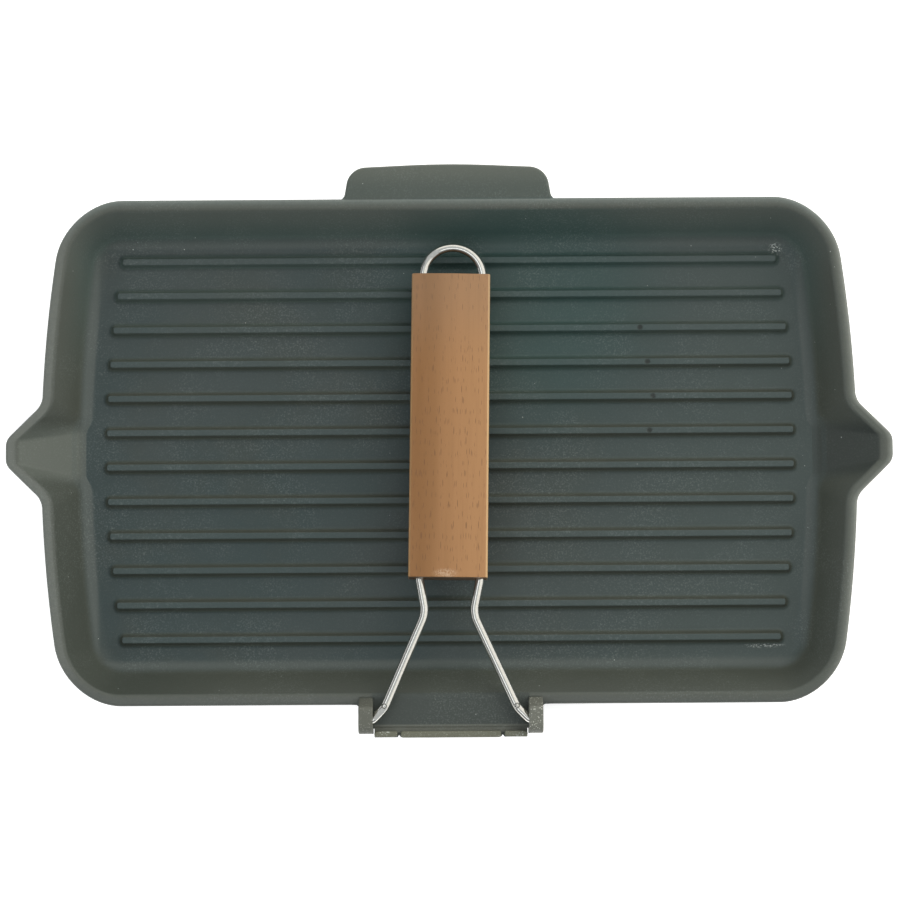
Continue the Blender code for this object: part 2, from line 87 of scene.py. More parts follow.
# Pour spouts.
SPOUT_REACH = pan_high.x - HALF_LENGTH
SPOUT_TIP_HALF = 5.6 * MM
SPOUT_BASE_HALF = 21.4 * MM
SPOUT_TIP_RADIUS = 12.5 * MM
SPOUT_BASE_RADIUS = 9.0 * MM
SPOUT_ROOT_HALF = 10.3 * MM
SPOUT_ROOT_BASE_HALF = 16.5 * MM
SPOUT_FLOOR_REACH = 2.8 * MM
SPOUT_ROOT_HEIGHT = 3.0 * MM
SPOUT_LIP_HEIGHT = 21.5 * MM
CHANNEL_TIP_HALF = 5.0 * MM
CHANNEL_BASE_HALF = 19.7 * MM
CHANNEL_TIP_RADIUS = 3.0 * MM
CHANNEL_BASE_RADIUS = 13.0 * MM

# Ribs.
RIB_COUNT = 12
RIB_PITCH = 15.53 * MM
RIB_CENTRE_Y = 1.7 * MM
RIB_CENTRE_X = 0.5 * MM
RIB_HEIGHT = 3.5 * MM
RIB_TOP_HALF_WIDTH = 1.35 * MM
RIB_DRAFT = 1.4 * MM
RIB_HALF_LENGTH = 154.8 * MM
RIB_END_BOW_RADIUS = 520.0 * MM
RIB_CORNER_RADIUS = 0.8 * MM
RIB_EDGE = 0.5 * MM
RIB_FILLET = 2.4 * MM
RIB_FOOT_DIP = 0.03 * MM
SINK = 0.6 * MM

# Helper tab.
TAB_REACH_Y = pan_high.y
TAB_CROWN = 1.0 * MM
TAB_CROWN_RADIUS = 400.0 * MM
TAB_HALF_WIDTH = 44.1 * MM
TAB_ROOT_HALF_WIDTH = 46.6 * MM
TAB_ROOT_FILLET = 4.5 * MM
TAB_CORNER_RADIUS = 9.0 * MM
TAB_THICKNESS = 6.0 * MM
TAB_DROP = 0.8 * MM
TAB_EDGE = 1.3 * MM

# Hinge bracket: shelf, lip and ears.
SHELF_THICKNESS = 6.0 * MM
SHELF_DROP = 0.1 * MM
SHELF_EDGE = 0.7 * MM
WEB_FILLET = 1.4 * MM
LIP_FRONT_Y = pan_low.y
LIP_BACK_Y = LIP_FRONT_Y + 3.0 * MM
LIP_TOP = 28.7 * MM
LIP_EDGE = 0.7 * MM
PAD_CORNER = 1.1 * MM
GROOVE_WIDTH = 2.2 * MM
GROOVE_DEPTH = 0.4 * MM
GROOVE_SLOPE_RUN = 0.9 * MM
MIDDLE_LIP_HALF = 22.2 * MM
MIDDLE_LIP_RECESS = 0.1 * MM
PAD_INNER_X = 23.6 * MM
PAD_RECESS = 0.4 * MM
NOTCH_HALF = 0.8 * MM
NOTCH_DEPTH = 0.8 * MM
SLIT_WIDTH = 0.5 * MM
SLIT_LENGTH = 4.0 * MM
EAR_INNER_X = 34.3 * MM
EAR_THICKNESS = 6.3 * MM
EAR_SIDE_FILLET = 2.4 * MM
EAR_EDGE = 0.7 * MM
EAR_TOP = pan_high.z
EAR_FRONT_Y = -125.6 * MM
EAR_FRONT_LEAN = 0.4 * MM
EAR_ROOT_Y = -105.0 * MM
EAR_ROOT_Z = 13.0 * MM
EAR_HEEL_Y = -108.9 * MM
EAR_HEEL_Z = 24.3 * MM
EAR_CREST_Y = -113.6 * MM
EAR_CREST_RADIUS = 2.5 * MM
EAR_FRONT_RADIUS = 4.0 * MM
EAR_BORE_RADIUS = 2.3 * MM
EAR_MOUTH_RADIUS = 4.2 * MM
EAR_MOUTH_DEPTH = 2.2 * MM
CUT_MARGIN = 2.0 * MM

# Handle. Distances along it are measured from the hinge axis.
WIRE_RADIUS = 2.0 * MM
WIRE_END_X = wire_high.x
WIRE_END_ROUND = 0.5 * MM
KINK_X = 29.2 * MM
KINK_ALONG = 5.4 * MM
WAIST_X = 10.6 * MM
WAIST_ALONG = 46.9 * MM
WIRE_IN_GRIP_X = 13.3 * MM
WIRE_STRAIGHT_FROM = 61.2 * MM
PIVOT_BEND_RADIUS = 3.5 * MM
KINK_RADIUS = 12.0 * MM
WAIST_RADIUS = 13.0 * MM
ENTRY_RADIUS = 10.0 * MM
GRIP_START = 62.2 * MM
GRIP_LENGTH = 136.1 * MM
GRIP_WIDTH = 35.0 * MM
GRIP_THICKNESS = 16.0 * MM
GRIP_CROWN = 0.5 * MM
GRIP_CROWN_RADIUS = 280.0 * MM
GRIP_EDGE = 1.3 * MM
GRIP_END_EDGE = 0.4 * MM
GRIP_BORE_RADIUS = 2.4 * MM
BORE_MOUTH = 0.5 * MM
HANDLE_LEAN = math.radians(0.95)
LEAN_CENTRE = 119.0 * MM
BORE_SHIFT = 0.8 * MM
GAP = 0.3 * MM

# Segments of the rounded stretches and of the long straight ones.
CORNER_STEPS = 16
SPOUT_STEPS = 10
FLANK_STEPS = 6
SIDE_STEPS = 16
LONG_STEPS = 30
WALL_STEPS = 10
FILLET_STEPS = 10
EDGE_STEPS = 4
BEND_STEPS = 10
WAIST_STEPS = 16
LOOP_STEPS = 48
WIRE_SIDES = 32
BORE_SIDES = 48
LEG_STEPS = 12
IN_GRIP_STEPS = 24

# A rounding takes at least LEAST_CUT and at most ROUNDING_ROOM of each straight run beside it. Edges that
# turn by less than SMOOTH_UNDER are shaded smooth.
LEAST_CUT = 0.05 * MM
ROUNDING_ROOM = 0.49
SMOOTH_UNDER = math.radians(38.0)

# Camera and studio.
AIM = Vector((0.35 * MM, -0.11 * MM, RIM_HEIGHT))
CAMERA_DISTANCE = 1.2
CAMERA_TILT = math.radians(3.7)
CAMERA_ROLL = math.radians(-0.36)
LENS_MM = 107.95
SENSOR_MM = 36.0
STAGE_HALF = 6.0

# Each light's name, place, side in metres, power in watts and colour.
LIGHTS = (
    ("key_light", (1.25, 0.85, 1.05), 2.4, 31.0, (1.0, 0.97, 0.90)),
    ("left_fill", (-1.3, -0.5, 1.1), 1.6, 12.0, (0.97, 1.0, 1.0)),
)

# The surroundings: a dark side, a brighter one towards +X and +Y with grey before it, a ring high over the
# dark side with grey above it, and a white horizon.
BRIGHT_TOWARDS = (0.74, 0.67, 0.0)
DARK_SIDE = (0.25, 0.26, 0.265)
BRIGHT_SIDE = (0.98, 0.965, 0.90)
OVERHEAD_RING = (1.40, 1.44, 1.44)
MIDDLE_GREY = (0.50, 0.52, 0.52)
HORIZON = (1.0, 1.0, 1.0)
STAGE_DULL = (0.88, 0.88, 0.88)
STAGE_BRIGHT = (0.92, 0.92, 0.92)
STAGE_GLOW = 0.62

# Coat colours, as linear base colours.
FLOOR_COOL = (0.024, 0.040, 0.041)
FLOOR_GREY = (0.033, 0.046, 0.046)
FLOOR_OLIVE = (0.038, 0.047, 0.042)
# painted light: the floor paler towards +X
FLOOR_PAINTED_LIGHT = (0.041, 0.058, 0.056)
TEAL = (0.020, 0.056, 0.053)
WALL_OLIVE = (0.052, 0.059, 0.048)
WALL_COOL = (0.057, 0.082, 0.075)
# painted light on the upper walls, most on the tab side; the first of these two is also painted shade on
# the rim's inner edge
PAINTED_WALL_LIGHT_AND_RIM_SHADE = (0.064, 0.072, 0.062)
WALL_TOP_PAINTED_LIGHT = (0.080, 0.094, 0.084)
WALL_DIM = (0.046, 0.054, 0.045)
# painted highlight along the fillet round the floor
FILLET_PAINTED_HIGHLIGHT = (0.056, 0.070, 0.067)
# painted light in the spout channel at -X, painted shade in the one at +X
SPOUT_PAINTED_LIGHT = (0.082, 0.094, 0.082)
SPOUT_PAINTED_SHADE = (0.033, 0.040, 0.036)
RIB_TOP = (0.042, 0.062, 0.062)
RIM_PALE = (0.086, 0.093, 0.084)
# painted light on the rim towards +X and +Y and at the spout ends
RIM_LIT = (0.150, 0.163, 0.146)
RIM_COOL = (0.124, 0.148, 0.139)
SHELF_GREY = (0.038, 0.047, 0.043)
# painted light in the groove behind the lip, over the shade that falls there
GROOVE_PAINTED_LIGHT = (0.105, 0.112, 0.096)
BRACKET_PALE = (0.117, 0.121, 0.102)
BRACKET_DIM = (0.092, 0.096, 0.080)
LIP_OLIVE = (0.114, 0.117, 0.085)
TAB_GREY = (0.055, 0.069, 0.061)
# painted light towards the tab's outer edge
TAB_PAINTED_LIGHT = (0.086, 0.097, 0.083)
FLAW_DARK = (0.008, 0.012, 0.010)
SPECK_PALE = (0.42, 0.45, 0.43)
DUST_PALE = (0.30, 0.34, 0.33)
GRIT_PALE = (0.50, 0.51, 0.46)
SCUFF_PALE = (0.50, 0.53, 0.51)

# Where the coat's marks are. A flaw's second number counts rib pitches from the middle of the rib field.
TEAL_PLACE = (35.0 * MM, 75.0 * MM, FLOOR_HEIGHT)
RIB_FLAWS = ((86.6 * MM, 3.5), (89.8 * MM, 2.5), (92.2 * MM, 1.5), (90.4 * MM, 0.5))
SCRATCHED_PLACE = (148.6 * MM, 91.8 * MM, FLOOR_HEIGHT)
LONG_SCRATCH = (141.0 * MM, -87.8 * MM, FLOOR_HEIGHT)
SCRATCH_SQUEEZE = 0.12
PAD_CHIPS = ((-1, 28.0 * MM), (-1, 30.5 * MM), (1, 29.0 * MM), (1, 31.0 * MM))

# Wire and wood colours.
CHROME_DULL = (0.78, 0.77, 0.73)
CHROME_BRIGHT = (0.86, 0.85, 0.82)
MARK_DARK = (0.10, 0.10, 0.085)
# the wood's tone, with painted shade on the grip's -X side and painted light on its +X side
WOOD_TONE_PAINTED_SHADE = (0.200, 0.089, 0.025)
WOOD_TONE_PAINTED_LIGHT = (0.345, 0.175, 0.070)
WOOD_BAND = (0.385, 0.195, 0.083)
WOOD_FIBRE = (0.235, 0.112, 0.042)
WOOD_FLECK = (0.110, 0.046, 0.018)
# painted highlight on the grip's long edges, stronger at +X
WOOD_EDGE_PAINTED_HIGHLIGHT = (0.58, 0.39, 0.20)
# painted shade towards the grip's far end
WOOD_FAR_END_PAINTED_SHADE = (0.20, 0.14, 0.095)
# painted highlight on top of the grip at its hinge end
WOOD_HINGE_END_HIGHLIGHT = (0.52, 0.36, 0.24)
END_GRAIN = (0.075, 0.055, 0.040)


def mix(low, high, share):
    """The number that lies a share of the way from low to high."""
    return low + (high - low) * share


# ---------------- outlines


def rounded_corner(before, corner, after, radius, steps):
    """Points of the arc that rounds a corner. An exact circle, as a rational curve."""
    back = (before[0] - corner[0], before[1] - corner[1])
    ahead = (after[0] - corner[0], after[1] - corner[1])
    back_length = math.hypot(*back)
    ahead_length = math.hypot(*ahead)
    cosine = (back[0] * ahead[0] + back[1] * ahead[1]) / (back_length * ahead_length)
    turn = math.pi - math.acos(max(-1.0, min(1.0, cosine)))
    room = ROUNDING_ROOM * min(back_length, ahead_length)
    cut = min(max(radius * math.tan(turn / 2), LEAST_CUT), room)
    start = [corner[i] + back[i] / back_length * cut for i in (0, 1)]
    end = [corner[i] + ahead[i] / ahead_length * cut for i in (0, 1)]
    weight = math.cos(turn / 2)
    points = []
    for step in range(steps + 1):
        t = step / steps
        a, b, c = (1 - t) ** 2, 2 * t * (1 - t) * weight, t**2
        total = a + b + c
        points.append(tuple((a * start[i] + b * corner[i] + c * end[i]) / total for i in (0, 1)))
    return points


def straight(start, end, steps):
    """Points between two points, with neither end."""
    shares = [step / steps for step in range(1, steps)]
    return [(mix(start[0], end[0], t), mix(start[1], end[1], t)) for t in shares]


def rounded_path(corners, fills=None):
    """An open path through (x, y, radius, steps) corners. A fill is how many steps a straight run takes."""
    fills = fills or [1] * (len(corners) - 1)
    points = [corners[0][:2]]
    for before, corner, after, fill in zip(corners, corners[1:], corners[2:], fills, strict=False):
        arc = rounded_corner(before[:2], corner[:2], after[:2], corner[2], corner[3])
        points += straight(points[-1], arc[0], fill) + arc
    points += straight(points[-1], corners[-1][:2], fills[-1])
    points.append(corners[-1][:2])
    return points


def rounded_loop(corners):
    """A closed path through (x, y, radius, steps) corners."""
    points = []
    for index, corner in enumerate(corners):
        before = corners[index - 1]
        after = corners[(index + 1) % len(corners)]
        if corner[2] > 0:
            points += rounded_corner(before[:2], corner[:2], after[:2], corner[2], corner[3])
        else:
            points.append(corner[:2])
    return points


def inset_loop(points, inset):
    """A closed anticlockwise path, moved inwards by inset all round."""
    moved = []
    for index, point in enumerate(points):
        before = Vector(points[index - 1])
        here = Vector(point)
        after = Vector(points[(index + 1) % len(points)])
        first = (here - before).normalized().orthogonal()
        second = (after - here).normalized().orthogonal()
        inwards = (first + second).normalized()
        moved.append(tuple(here + inwards * inset / max(0.4, inwards.dot(first))))
    return moved


def circle_points(radius, centre_x):
    """A bore's circle."""
    angles = [2 * math.pi * i / BORE_SIDES for i in range(BORE_SIDES)]
    return [(centre_x + radius * math.cos(a), radius * math.sin(a)) for a in angles]


def mirrored_ring(quarter):
    """A closed ring from its quarter, which runs from the +X axis to the +Y axis."""
    ring = list(quarter)
    ring += [(-x, y) for x, y in reversed(quarter[:-1])]
    ring += [(-x, -y) for x, y in quarter[1:]]
    ring += [(x, -y) for x, y in reversed(quarter[1:-1])]
    return ring


def pan_ring(offset, reach, tip_half, base_half, tip_radius, base_radius):
    """The pan's outline, offset inwards, with a spout that stands out by reach."""
    side = HALF_LENGTH - offset
    depth = HALF_DEPTH - offset
    corner = max(CORNER_RADIUS - offset, LEAST_CORNER_RADIUS)
    quarter = rounded_path(
        [
            (side + reach, 0.0, 0.0, 0),
            (side + reach, tip_half, tip_radius, SPOUT_STEPS),
            (side, base_half, base_radius, SPOUT_STEPS),
            (side, depth, corner, CORNER_STEPS),
            (0.0, depth, 0.0, 0),
        ],
        [2, FLANK_STEPS, SIDE_STEPS, LONG_STEPS],
    )
    bowed = [(x * (1 - y * y / (2 * SIDE_BOW_RADIUS * side)), y) for x, y in quarter]
    return mirrored_ring(bowed)


# ---------------- mesh helpers


def lofted_mesh(name, rings):
    """A closed mesh through rings of points, capped at both ends."""
    shape = bmesh.new()
    rows = [[shape.verts.new(point) for point in ring] for ring in rings]
    for low, high in zip(rows, rows[1:], strict=False):
        count = len(low)
        for i in range(count):
            j = (i + 1) % count
            shape.faces.new((low[i], low[j], high[j], high[i]))
    shape.faces.new(list(reversed(rows[0])))
    shape.faces.new(rows[-1])
    return finished_mesh(name, shape)


def finished_mesh(name, shape):
    """A mesh from a bmesh, which is freed, with its faces turned outwards."""
    bmesh.ops.recalc_face_normals(shape, faces=shape.faces)
    mesh = bpy.data.meshes.new(name)
    shape.to_mesh(mesh)
    shape.free()
    return mesh


def flat_rings(rings):
    """Rings of (x, y) points at given heights, as rings of 3-D points."""
    return [[(x, y, z) for x, y in ring] for z, ring in rings]


def edge_stations(low, high, low_edge, high_edge):
    """(place, inset) pairs from low to high, for a solid whose two ends have rounded edges."""
    stations = []
    for end, edge, direction in ((low, low_edge, 1), (high, high_edge, -1)):
        angles = [math.pi / 2 * step / EDGE_STEPS for step in range(EDGE_STEPS + 1)]
        if direction < 0:
            angles.reverse()
        for angle in angles:
            inset = edge * (1 - math.sin(angle))
            stations.append((end + direction * edge * (1 - math.cos(angle)), inset))
    return stations


def plate_mesh(name, outline, low, high, low_edge, high_edge):
    """An anticlockwise outline thickened from low to high, with rounded edges."""
    stations = edge_stations(low, high, low_edge, high_edge)
    return lofted_mesh(name, flat_rings([(z, inset_loop(outline, inset)) for z, inset in stations]))


def moved_mesh(mesh, matrix):
    """The mesh itself, moved."""
    mesh.transform(matrix)
    return mesh


def joined_mesh(name, meshes):
    """Several meshes as one mesh of separate bodies."""
    shape = bmesh.new()
    for mesh in meshes:
        shape.from_mesh(mesh)
        bpy.data.meshes.remove(mesh)
    return finished_mesh(name, shape)


def new_object(name, data):
    """An object in the scene, for a mesh, a light or a camera."""
    made = bpy.data.objects.new(name, data)
    bpy.context.scene.collection.objects.link(made)
    return made


def combined_mesh(name, body, steps):
    """The body after its (operation, tool mesh) steps, as one clean mesh."""
    holder = new_object(name, body)
    tools = []
    for operation, mesh in steps:
        tool = new_object(f"{name}_tool", mesh)
        cut = holder.modifiers.new(operation, "BOOLEAN")
        cut.operation = operation
        cut.solver = "EXACT"
        cut.object = tool
        tools.append(tool)
    bpy.context.view_layer.update()
    depsgraph = bpy.context.evaluated_depsgraph_get()
    made = bpy.data.meshes.new_from_object(holder.evaluated_get(depsgraph))
    for item in [holder, *tools]:
        mesh = item.data
        bpy.data.objects.remove(item)
        bpy.data.meshes.remove(mesh)
    made.name = name
    return made


def finished_piece(name, mesh, material):
    """A smoothly shaded object with one material."""
    mesh.materials.clear()
    mesh.materials.append(material)
    piece = new_object(name, mesh)
    mesh.shade_smooth()
    mesh.set_sharp_from_angle(angle=SMOOTH_UNDER)
    shading = piece.modifiers.new("face_weighted_shading", "WEIGHTED_NORMAL")
    shading.keep_sharp = True
    return piece


def hand_over(piece, body, node):
    """Tells the frame which body the piece rides on, and hides the node it replaces."""
    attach(piece, body)
    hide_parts(node)


# ---------------- pan casting


def outer_rings():
    """The casting's outside, from the flat base up to the rim's outer edge."""
    foot = (RIM_HEIGHT - RIM_LAND) * WALL_SLANT + FOOT_INSET
    profile = rounded_path(
        [
            (foot + FLAT_RUN, 0.0, 0.0, 0),
            (foot, 0.0, BASE_ROUND, EDGE_STEPS),
            (0.0, RIM_HEIGHT - RIM_LAND, RIM_ROUND, EDGE_STEPS),
            (0.0, RIM_HEIGHT - RIM_OUTER_DROP, RIM_ROUND, EDGE_STEPS),
            (RIM_WIDTH / 2, RIM_HEIGHT, RIM_CROWN_RADIUS, EDGE_STEPS),
            (RIM_WIDTH, RIM_HEIGHT - RIM_INNER_DROP, 0.0, 0),
        ],
        [1, WALL_STEPS, 1, 1, 1],
    )
    rings = []
    for offset, z in profile[:-1]:
        drop = (SPOUT_LIP_HEIGHT - z) / (SPOUT_LIP_HEIGHT - SPOUT_ROOT_HEIGHT)
        drop = min(1.0, max(0.0, drop))
        ring = pan_ring(
            offset,
            mix(SPOUT_REACH, 0.0, drop),
            mix(SPOUT_TIP_HALF, SPOUT_ROOT_HALF, drop),
            mix(SPOUT_BASE_HALF, SPOUT_ROOT_BASE_HALF, drop),
            SPOUT_TIP_RADIUS - offset * (1 - drop),
            SPOUT_BASE_RADIUS,
        )
        rings.append((z, ring))
    return rings


def inner_rings():
    """The cavity, from the rim's inner edge down the walls and spout channels to the floor."""
    depth = RIM_HEIGHT - FLOOR_HEIGHT
    floor_edge = RIM_WIDTH + depth * WALL_SLANT
    profile = rounded_path(
        [
            (RIM_WIDTH / 2, RIM_HEIGHT, 0.0, 0),
            (RIM_WIDTH, RIM_HEIGHT - RIM_INNER_DROP, RIM_INNER_ROUND, EDGE_STEPS),
            (floor_edge, FLOOR_HEIGHT, FLOOR_FILLET, FILLET_STEPS),
            (floor_edge + FLOOR_RUN, FLOOR_HEIGHT, 0.0, 0),
        ],
        [1, WALL_STEPS, 1],
    )
    channel_top = HALF_LENGTH + SPOUT_REACH - RIM_WIDTH
    channel_foot = HALF_LENGTH - floor_edge - FLAT_RUN + SPOUT_FLOOR_REACH
    rings = []
    for offset, z in profile[1:-1]:
        drop = (RIM_HEIGHT - z) / depth
        tip = mix(channel_top, channel_foot, drop) - min(0.0, offset - RIM_WIDTH)
        ring = pan_ring(
            offset,
            tip - (HALF_LENGTH - offset),
            mix(CHANNEL_TIP_HALF, SPOUT_ROOT_HALF, drop),
            mix(CHANNEL_BASE_HALF, SPOUT_ROOT_BASE_HALF, drop),
            CHANNEL_TIP_RADIUS,
            CHANNEL_BASE_RADIUS,
        )
        rings.append((z, ring))
    return rings


def rib_mesh(index):
    """One rib, with rounded top edges and a small fillet where it meets the floor."""
    from_middle = (index - (RIB_COUNT - 1) / 2) * RIB_PITCH
    y = RIB_CENTRE_Y + from_middle
    half_length = RIB_HALF_LENGTH - from_middle**2 / (2 * RIB_END_BOW_RADIUS)
    top = FLOOR_HEIGHT + RIB_HEIGHT
    section = rounded_path(
        [
            (RIB_DRAFT + 2 * RIB_FILLET, FLOOR_HEIGHT - RIB_FOOT_DIP, 0.0, 0),
            (RIB_DRAFT, FLOOR_HEIGHT - RIB_FOOT_DIP, RIB_FILLET, FILLET_STEPS),
            (0.0, top, RIB_EDGE, EDGE_STEPS),
            (-RIB_TOP_HALF_WIDTH * 0.7, top, 0.0, 0),
        ]
    )
    section[0] = (section[1][0], FLOOR_HEIGHT - SINK)
    rings = []
    for spread, z in section:
        end = half_length + spread
        side = RIB_TOP_HALF_WIDTH + spread
        radius = max(RIB_CORNER_RADIUS + spread, 0.3 * side)
        corners = [(end, side), (-end, side), (-end, -side), (end, -side)]
        outline = rounded_loop([(x, dy, radius, EDGE_STEPS) for x, dy in corners])
        rings.append((z, [(x + RIB_CENTRE_X, y + dy) for x, dy in outline]))
    return lofted_mesh(f"rib_{index}", flat_rings(rings))


def tab_mesh():
    """The helper tab: a plate with a crowned front, rounded corners and small root fillets."""
    front = TAB_REACH_Y - TAB_CROWN
    root_y = HALF_DEPTH - RIM_WIDTH / 2
    rim_y = HALF_DEPTH - RIM_BITE
    flare = TAB_ROOT_HALF_WIDTH + 1.3 * TAB_ROOT_FILLET
    side = [
        (flare, root_y, 0.0, 0),
        (flare, rim_y, 0.0, 0),
        (TAB_ROOT_HALF_WIDTH, rim_y, TAB_ROOT_FILLET, EDGE_STEPS),
        (TAB_HALF_WIDTH, front, TAB_CORNER_RADIUS, CORNER_STEPS),
    ]
    crown = (0.0, TAB_REACH_Y + TAB_CROWN, TAB_CROWN_RADIUS, CORNER_STEPS)
    mirrored = [(-x, y, radius, steps) for x, y, radius, steps in reversed(side)]
    outline = rounded_loop([*side, crown, *mirrored])
    reach = max(y for _, y in outline)
    shrink = (TAB_REACH_Y - root_y) / (reach - root_y)
    fitted = [(x, root_y + (y - root_y) * shrink) for x, y in outline]
    top = RIM_HEIGHT - TAB_DROP
    return plate_mesh("tab", fitted, top - TAB_THICKNESS, top, TAB_EDGE, TAB_EDGE)


def along_x(low_x, high_x):
    """Turns a plate drawn in (y, z), and thickened from low_x to high_x, into the pan's axes."""
    turn = Matrix(((0, 0, 1, 0), (1, 0, 0, 0), (0, 1, 0, 0), (0, 0, 0, 1)))
    return Matrix.Translation((low_x, 0, 0)) @ turn, high_x - low_x


def profile_mesh(name, profile, low_x, high_x, edge):
    """A (y, z) outline drawn out along X, with rounded edges at both ends."""
    place, width = along_x(low_x, high_x)
    return moved_mesh(plate_mesh(name, profile, 0.0, width, edge, edge), place)


def shelf_mesh():
    """The shelf between the ears, level with the rim, with a shallow groove behind the lip."""
    top = RIM_HEIGHT - SHELF_DROP
    bottom = RIM_HEIGHT - SHELF_THICKNESS
    root_y = -HALF_DEPTH + RIM_WIDTH / 2
    groove_y = LIP_BACK_Y + GROOVE_WIDTH
    groove_z = top - GROOVE_DEPTH
    profile = rounded_loop(
        [
            (root_y, bottom, 0.0, 0),
            (root_y, top, 0.0, 0),
            (groove_y, top, SHELF_EDGE, EDGE_STEPS),
            (groove_y - GROOVE_SLOPE_RUN, groove_z, SHELF_EDGE, EDGE_STEPS),
            (LIP_FRONT_Y, groove_z, SHELF_EDGE, EDGE_STEPS),
            (LIP_FRONT_Y + SHELF_EDGE, bottom, SHELF_EDGE * 2, EDGE_STEPS),
        ]
    )
    profile.reverse()
    half = EAR_INNER_X + SINK
    return profile_mesh("shelf", profile, -half, half, 0.0)


def web_mesh():
    """The bracket's foot under the ears, with fillets where it meets the pan."""
    wall_y = -HALF_DEPTH + RIM_BITE
    root_y = -HALF_DEPTH + RIM_WIDTH / 2
    outer_x = EAR_INNER_X + EAR_THICKNESS - 0.05 * MM
    flare = outer_x + 1.4 * WEB_FILLET
    side = [
        (flare, root_y, 0.0, 0),
        (flare, wall_y, 0.0, 0),
        (outer_x, wall_y, WEB_FILLET, EDGE_STEPS),
        (outer_x, EAR_FRONT_Y + SHELF_EDGE, SHELF_EDGE, EDGE_STEPS),
    ]
    mirrored = [(-x, y, radius, steps) for x, y, radius, steps in reversed(side)]
    outline = rounded_loop([*side, *mirrored])
    outline.reverse()
    bottom = RIM_HEIGHT - SHELF_THICKNESS
    top = RIM_HEIGHT - GROOVE_DEPTH - 2 * SHELF_DROP
    return plate_mesh("web", outline, bottom, top, SHELF_EDGE, 0.0)


def lip_meshes():
    """The stop lip: a middle bar and two end pads, which the unfolded wire rests on."""
    low = RIM_HEIGHT - GROOVE_DEPTH - SHELF_DROP - SINK
    pad_outer = EAR_INNER_X - SLIT_WIDTH
    spans = [
        (-pad_outer, -PAD_INNER_X, PAD_RECESS),
        (-MIDDLE_LIP_HALF, MIDDLE_LIP_HALF, MIDDLE_LIP_RECESS),
        (PAD_INNER_X, pad_outer, PAD_RECESS),
    ]
    meshes = []
    for left, right, recess in spans:
        front = LIP_FRONT_Y + recess
        corners = [(left, front), (right, front), (right, LIP_BACK_Y), (left, LIP_BACK_Y)]
        outline = rounded_loop([(x, y, PAD_CORNER, EDGE_STEPS) for x, y in corners])
        meshes.append(plate_mesh("lip", outline, low, LIP_TOP, 0.0, LIP_EDGE))
    return meshes


def front_cut_meshes():
    """Narrow slits beside the ears, and small notches between the lip and its pads."""
    low = RIM_HEIGHT - 2 * SHELF_THICKNESS
    high = LIP_TOP + CUT_MARGIN
    front = LIP_FRONT_Y - CUT_MARGIN
    notch_x = (MIDDLE_LIP_HALF + PAD_INNER_X) / 2
    notch_slope = NOTCH_HALF / NOTCH_DEPTH
    notch_front = NOTCH_HALF + notch_slope * (CUT_MARGIN - PAD_RECESS)
    near = EAR_INNER_X - SLIT_WIDTH
    far = EAR_INNER_X + 2 * SINK
    back = LIP_FRONT_Y + SLIT_LENGTH
    outline = [
        (near, front),
        (far, front),
        (far, EAR_FRONT_Y),
        (EAR_INNER_X, EAR_FRONT_Y),
        (EAR_INNER_X, back),
        (near, back),
    ]
    meshes = []
    for side in (-1, 1):
        slit = [(side * x, y) for x, y in outline]
        meshes.append(lofted_mesh("slit", flat_rings([(low, slit), (high, slit)])))
        middle = side * notch_x
        tip = (middle, LIP_FRONT_Y + PAD_RECESS + NOTCH_DEPTH)
        notch = [(middle - notch_front, front), (middle + notch_front, front), tip]
        meshes.append(lofted_mesh("notch", flat_rings([(low, notch), (high, notch)])))
    return meshes


def ear_mesh(side):
    """One ear: it slopes up from the rim to a flat top, and has a rounded front."""
    profile = rounded_loop(
        [
            (EAR_ROOT_Y, EAR_ROOT_Z, 0.0, 0),
            (EAR_HEEL_Y, EAR_HEEL_Z, EAR_CREST_RADIUS, EDGE_STEPS),
            (EAR_CREST_Y, EAR_TOP, EAR_CREST_RADIUS, EDGE_STEPS),
            (EAR_FRONT_Y + EAR_FRONT_LEAN, EAR_TOP, EAR_FRONT_RADIUS, FILLET_STEPS),
            (EAR_FRONT_Y, RIM_HEIGHT - SHELF_THICKNESS, EAR_CREST_RADIUS, EDGE_STEPS),
        ]
    )
    near, far = sorted((side * EAR_INNER_X, side * (EAR_INNER_X + EAR_THICKNESS)))
    return profile_mesh("ear", profile, near, far, EAR_EDGE)


def ear_fillet_mesh(side):
    """The small inside corner between an ear's outer side and the rim, rounded."""
    outer = EAR_INNER_X + EAR_THICKNESS
    reach = 1.3 * EAR_SIDE_FILLET
    corners = [
        (outer - SINK, -HALF_DEPTH + 2 * SINK, 0.0, 0),
        (outer - SINK, -HALF_DEPTH - reach, 0.0, 0),
        (outer, -HALF_DEPTH - reach, 0.0, 0),
        (outer, -HALF_DEPTH, EAR_SIDE_FILLET, EDGE_STEPS),
        (outer + reach, -HALF_DEPTH, 0.0, 0),
        (outer + reach, -HALF_DEPTH + 2 * SINK, 0.0, 0),
    ]
    if side < 0:
        corners = [(-x, y, radius, steps) for x, y, radius, steps in reversed(corners)]
    top = RIM_HEIGHT - 2 * RIM_OUTER_DROP
    return plate_mesh("ear_fillet", rounded_loop(corners), top - SHELF_THICKNESS, top, 0.0, 0.0)


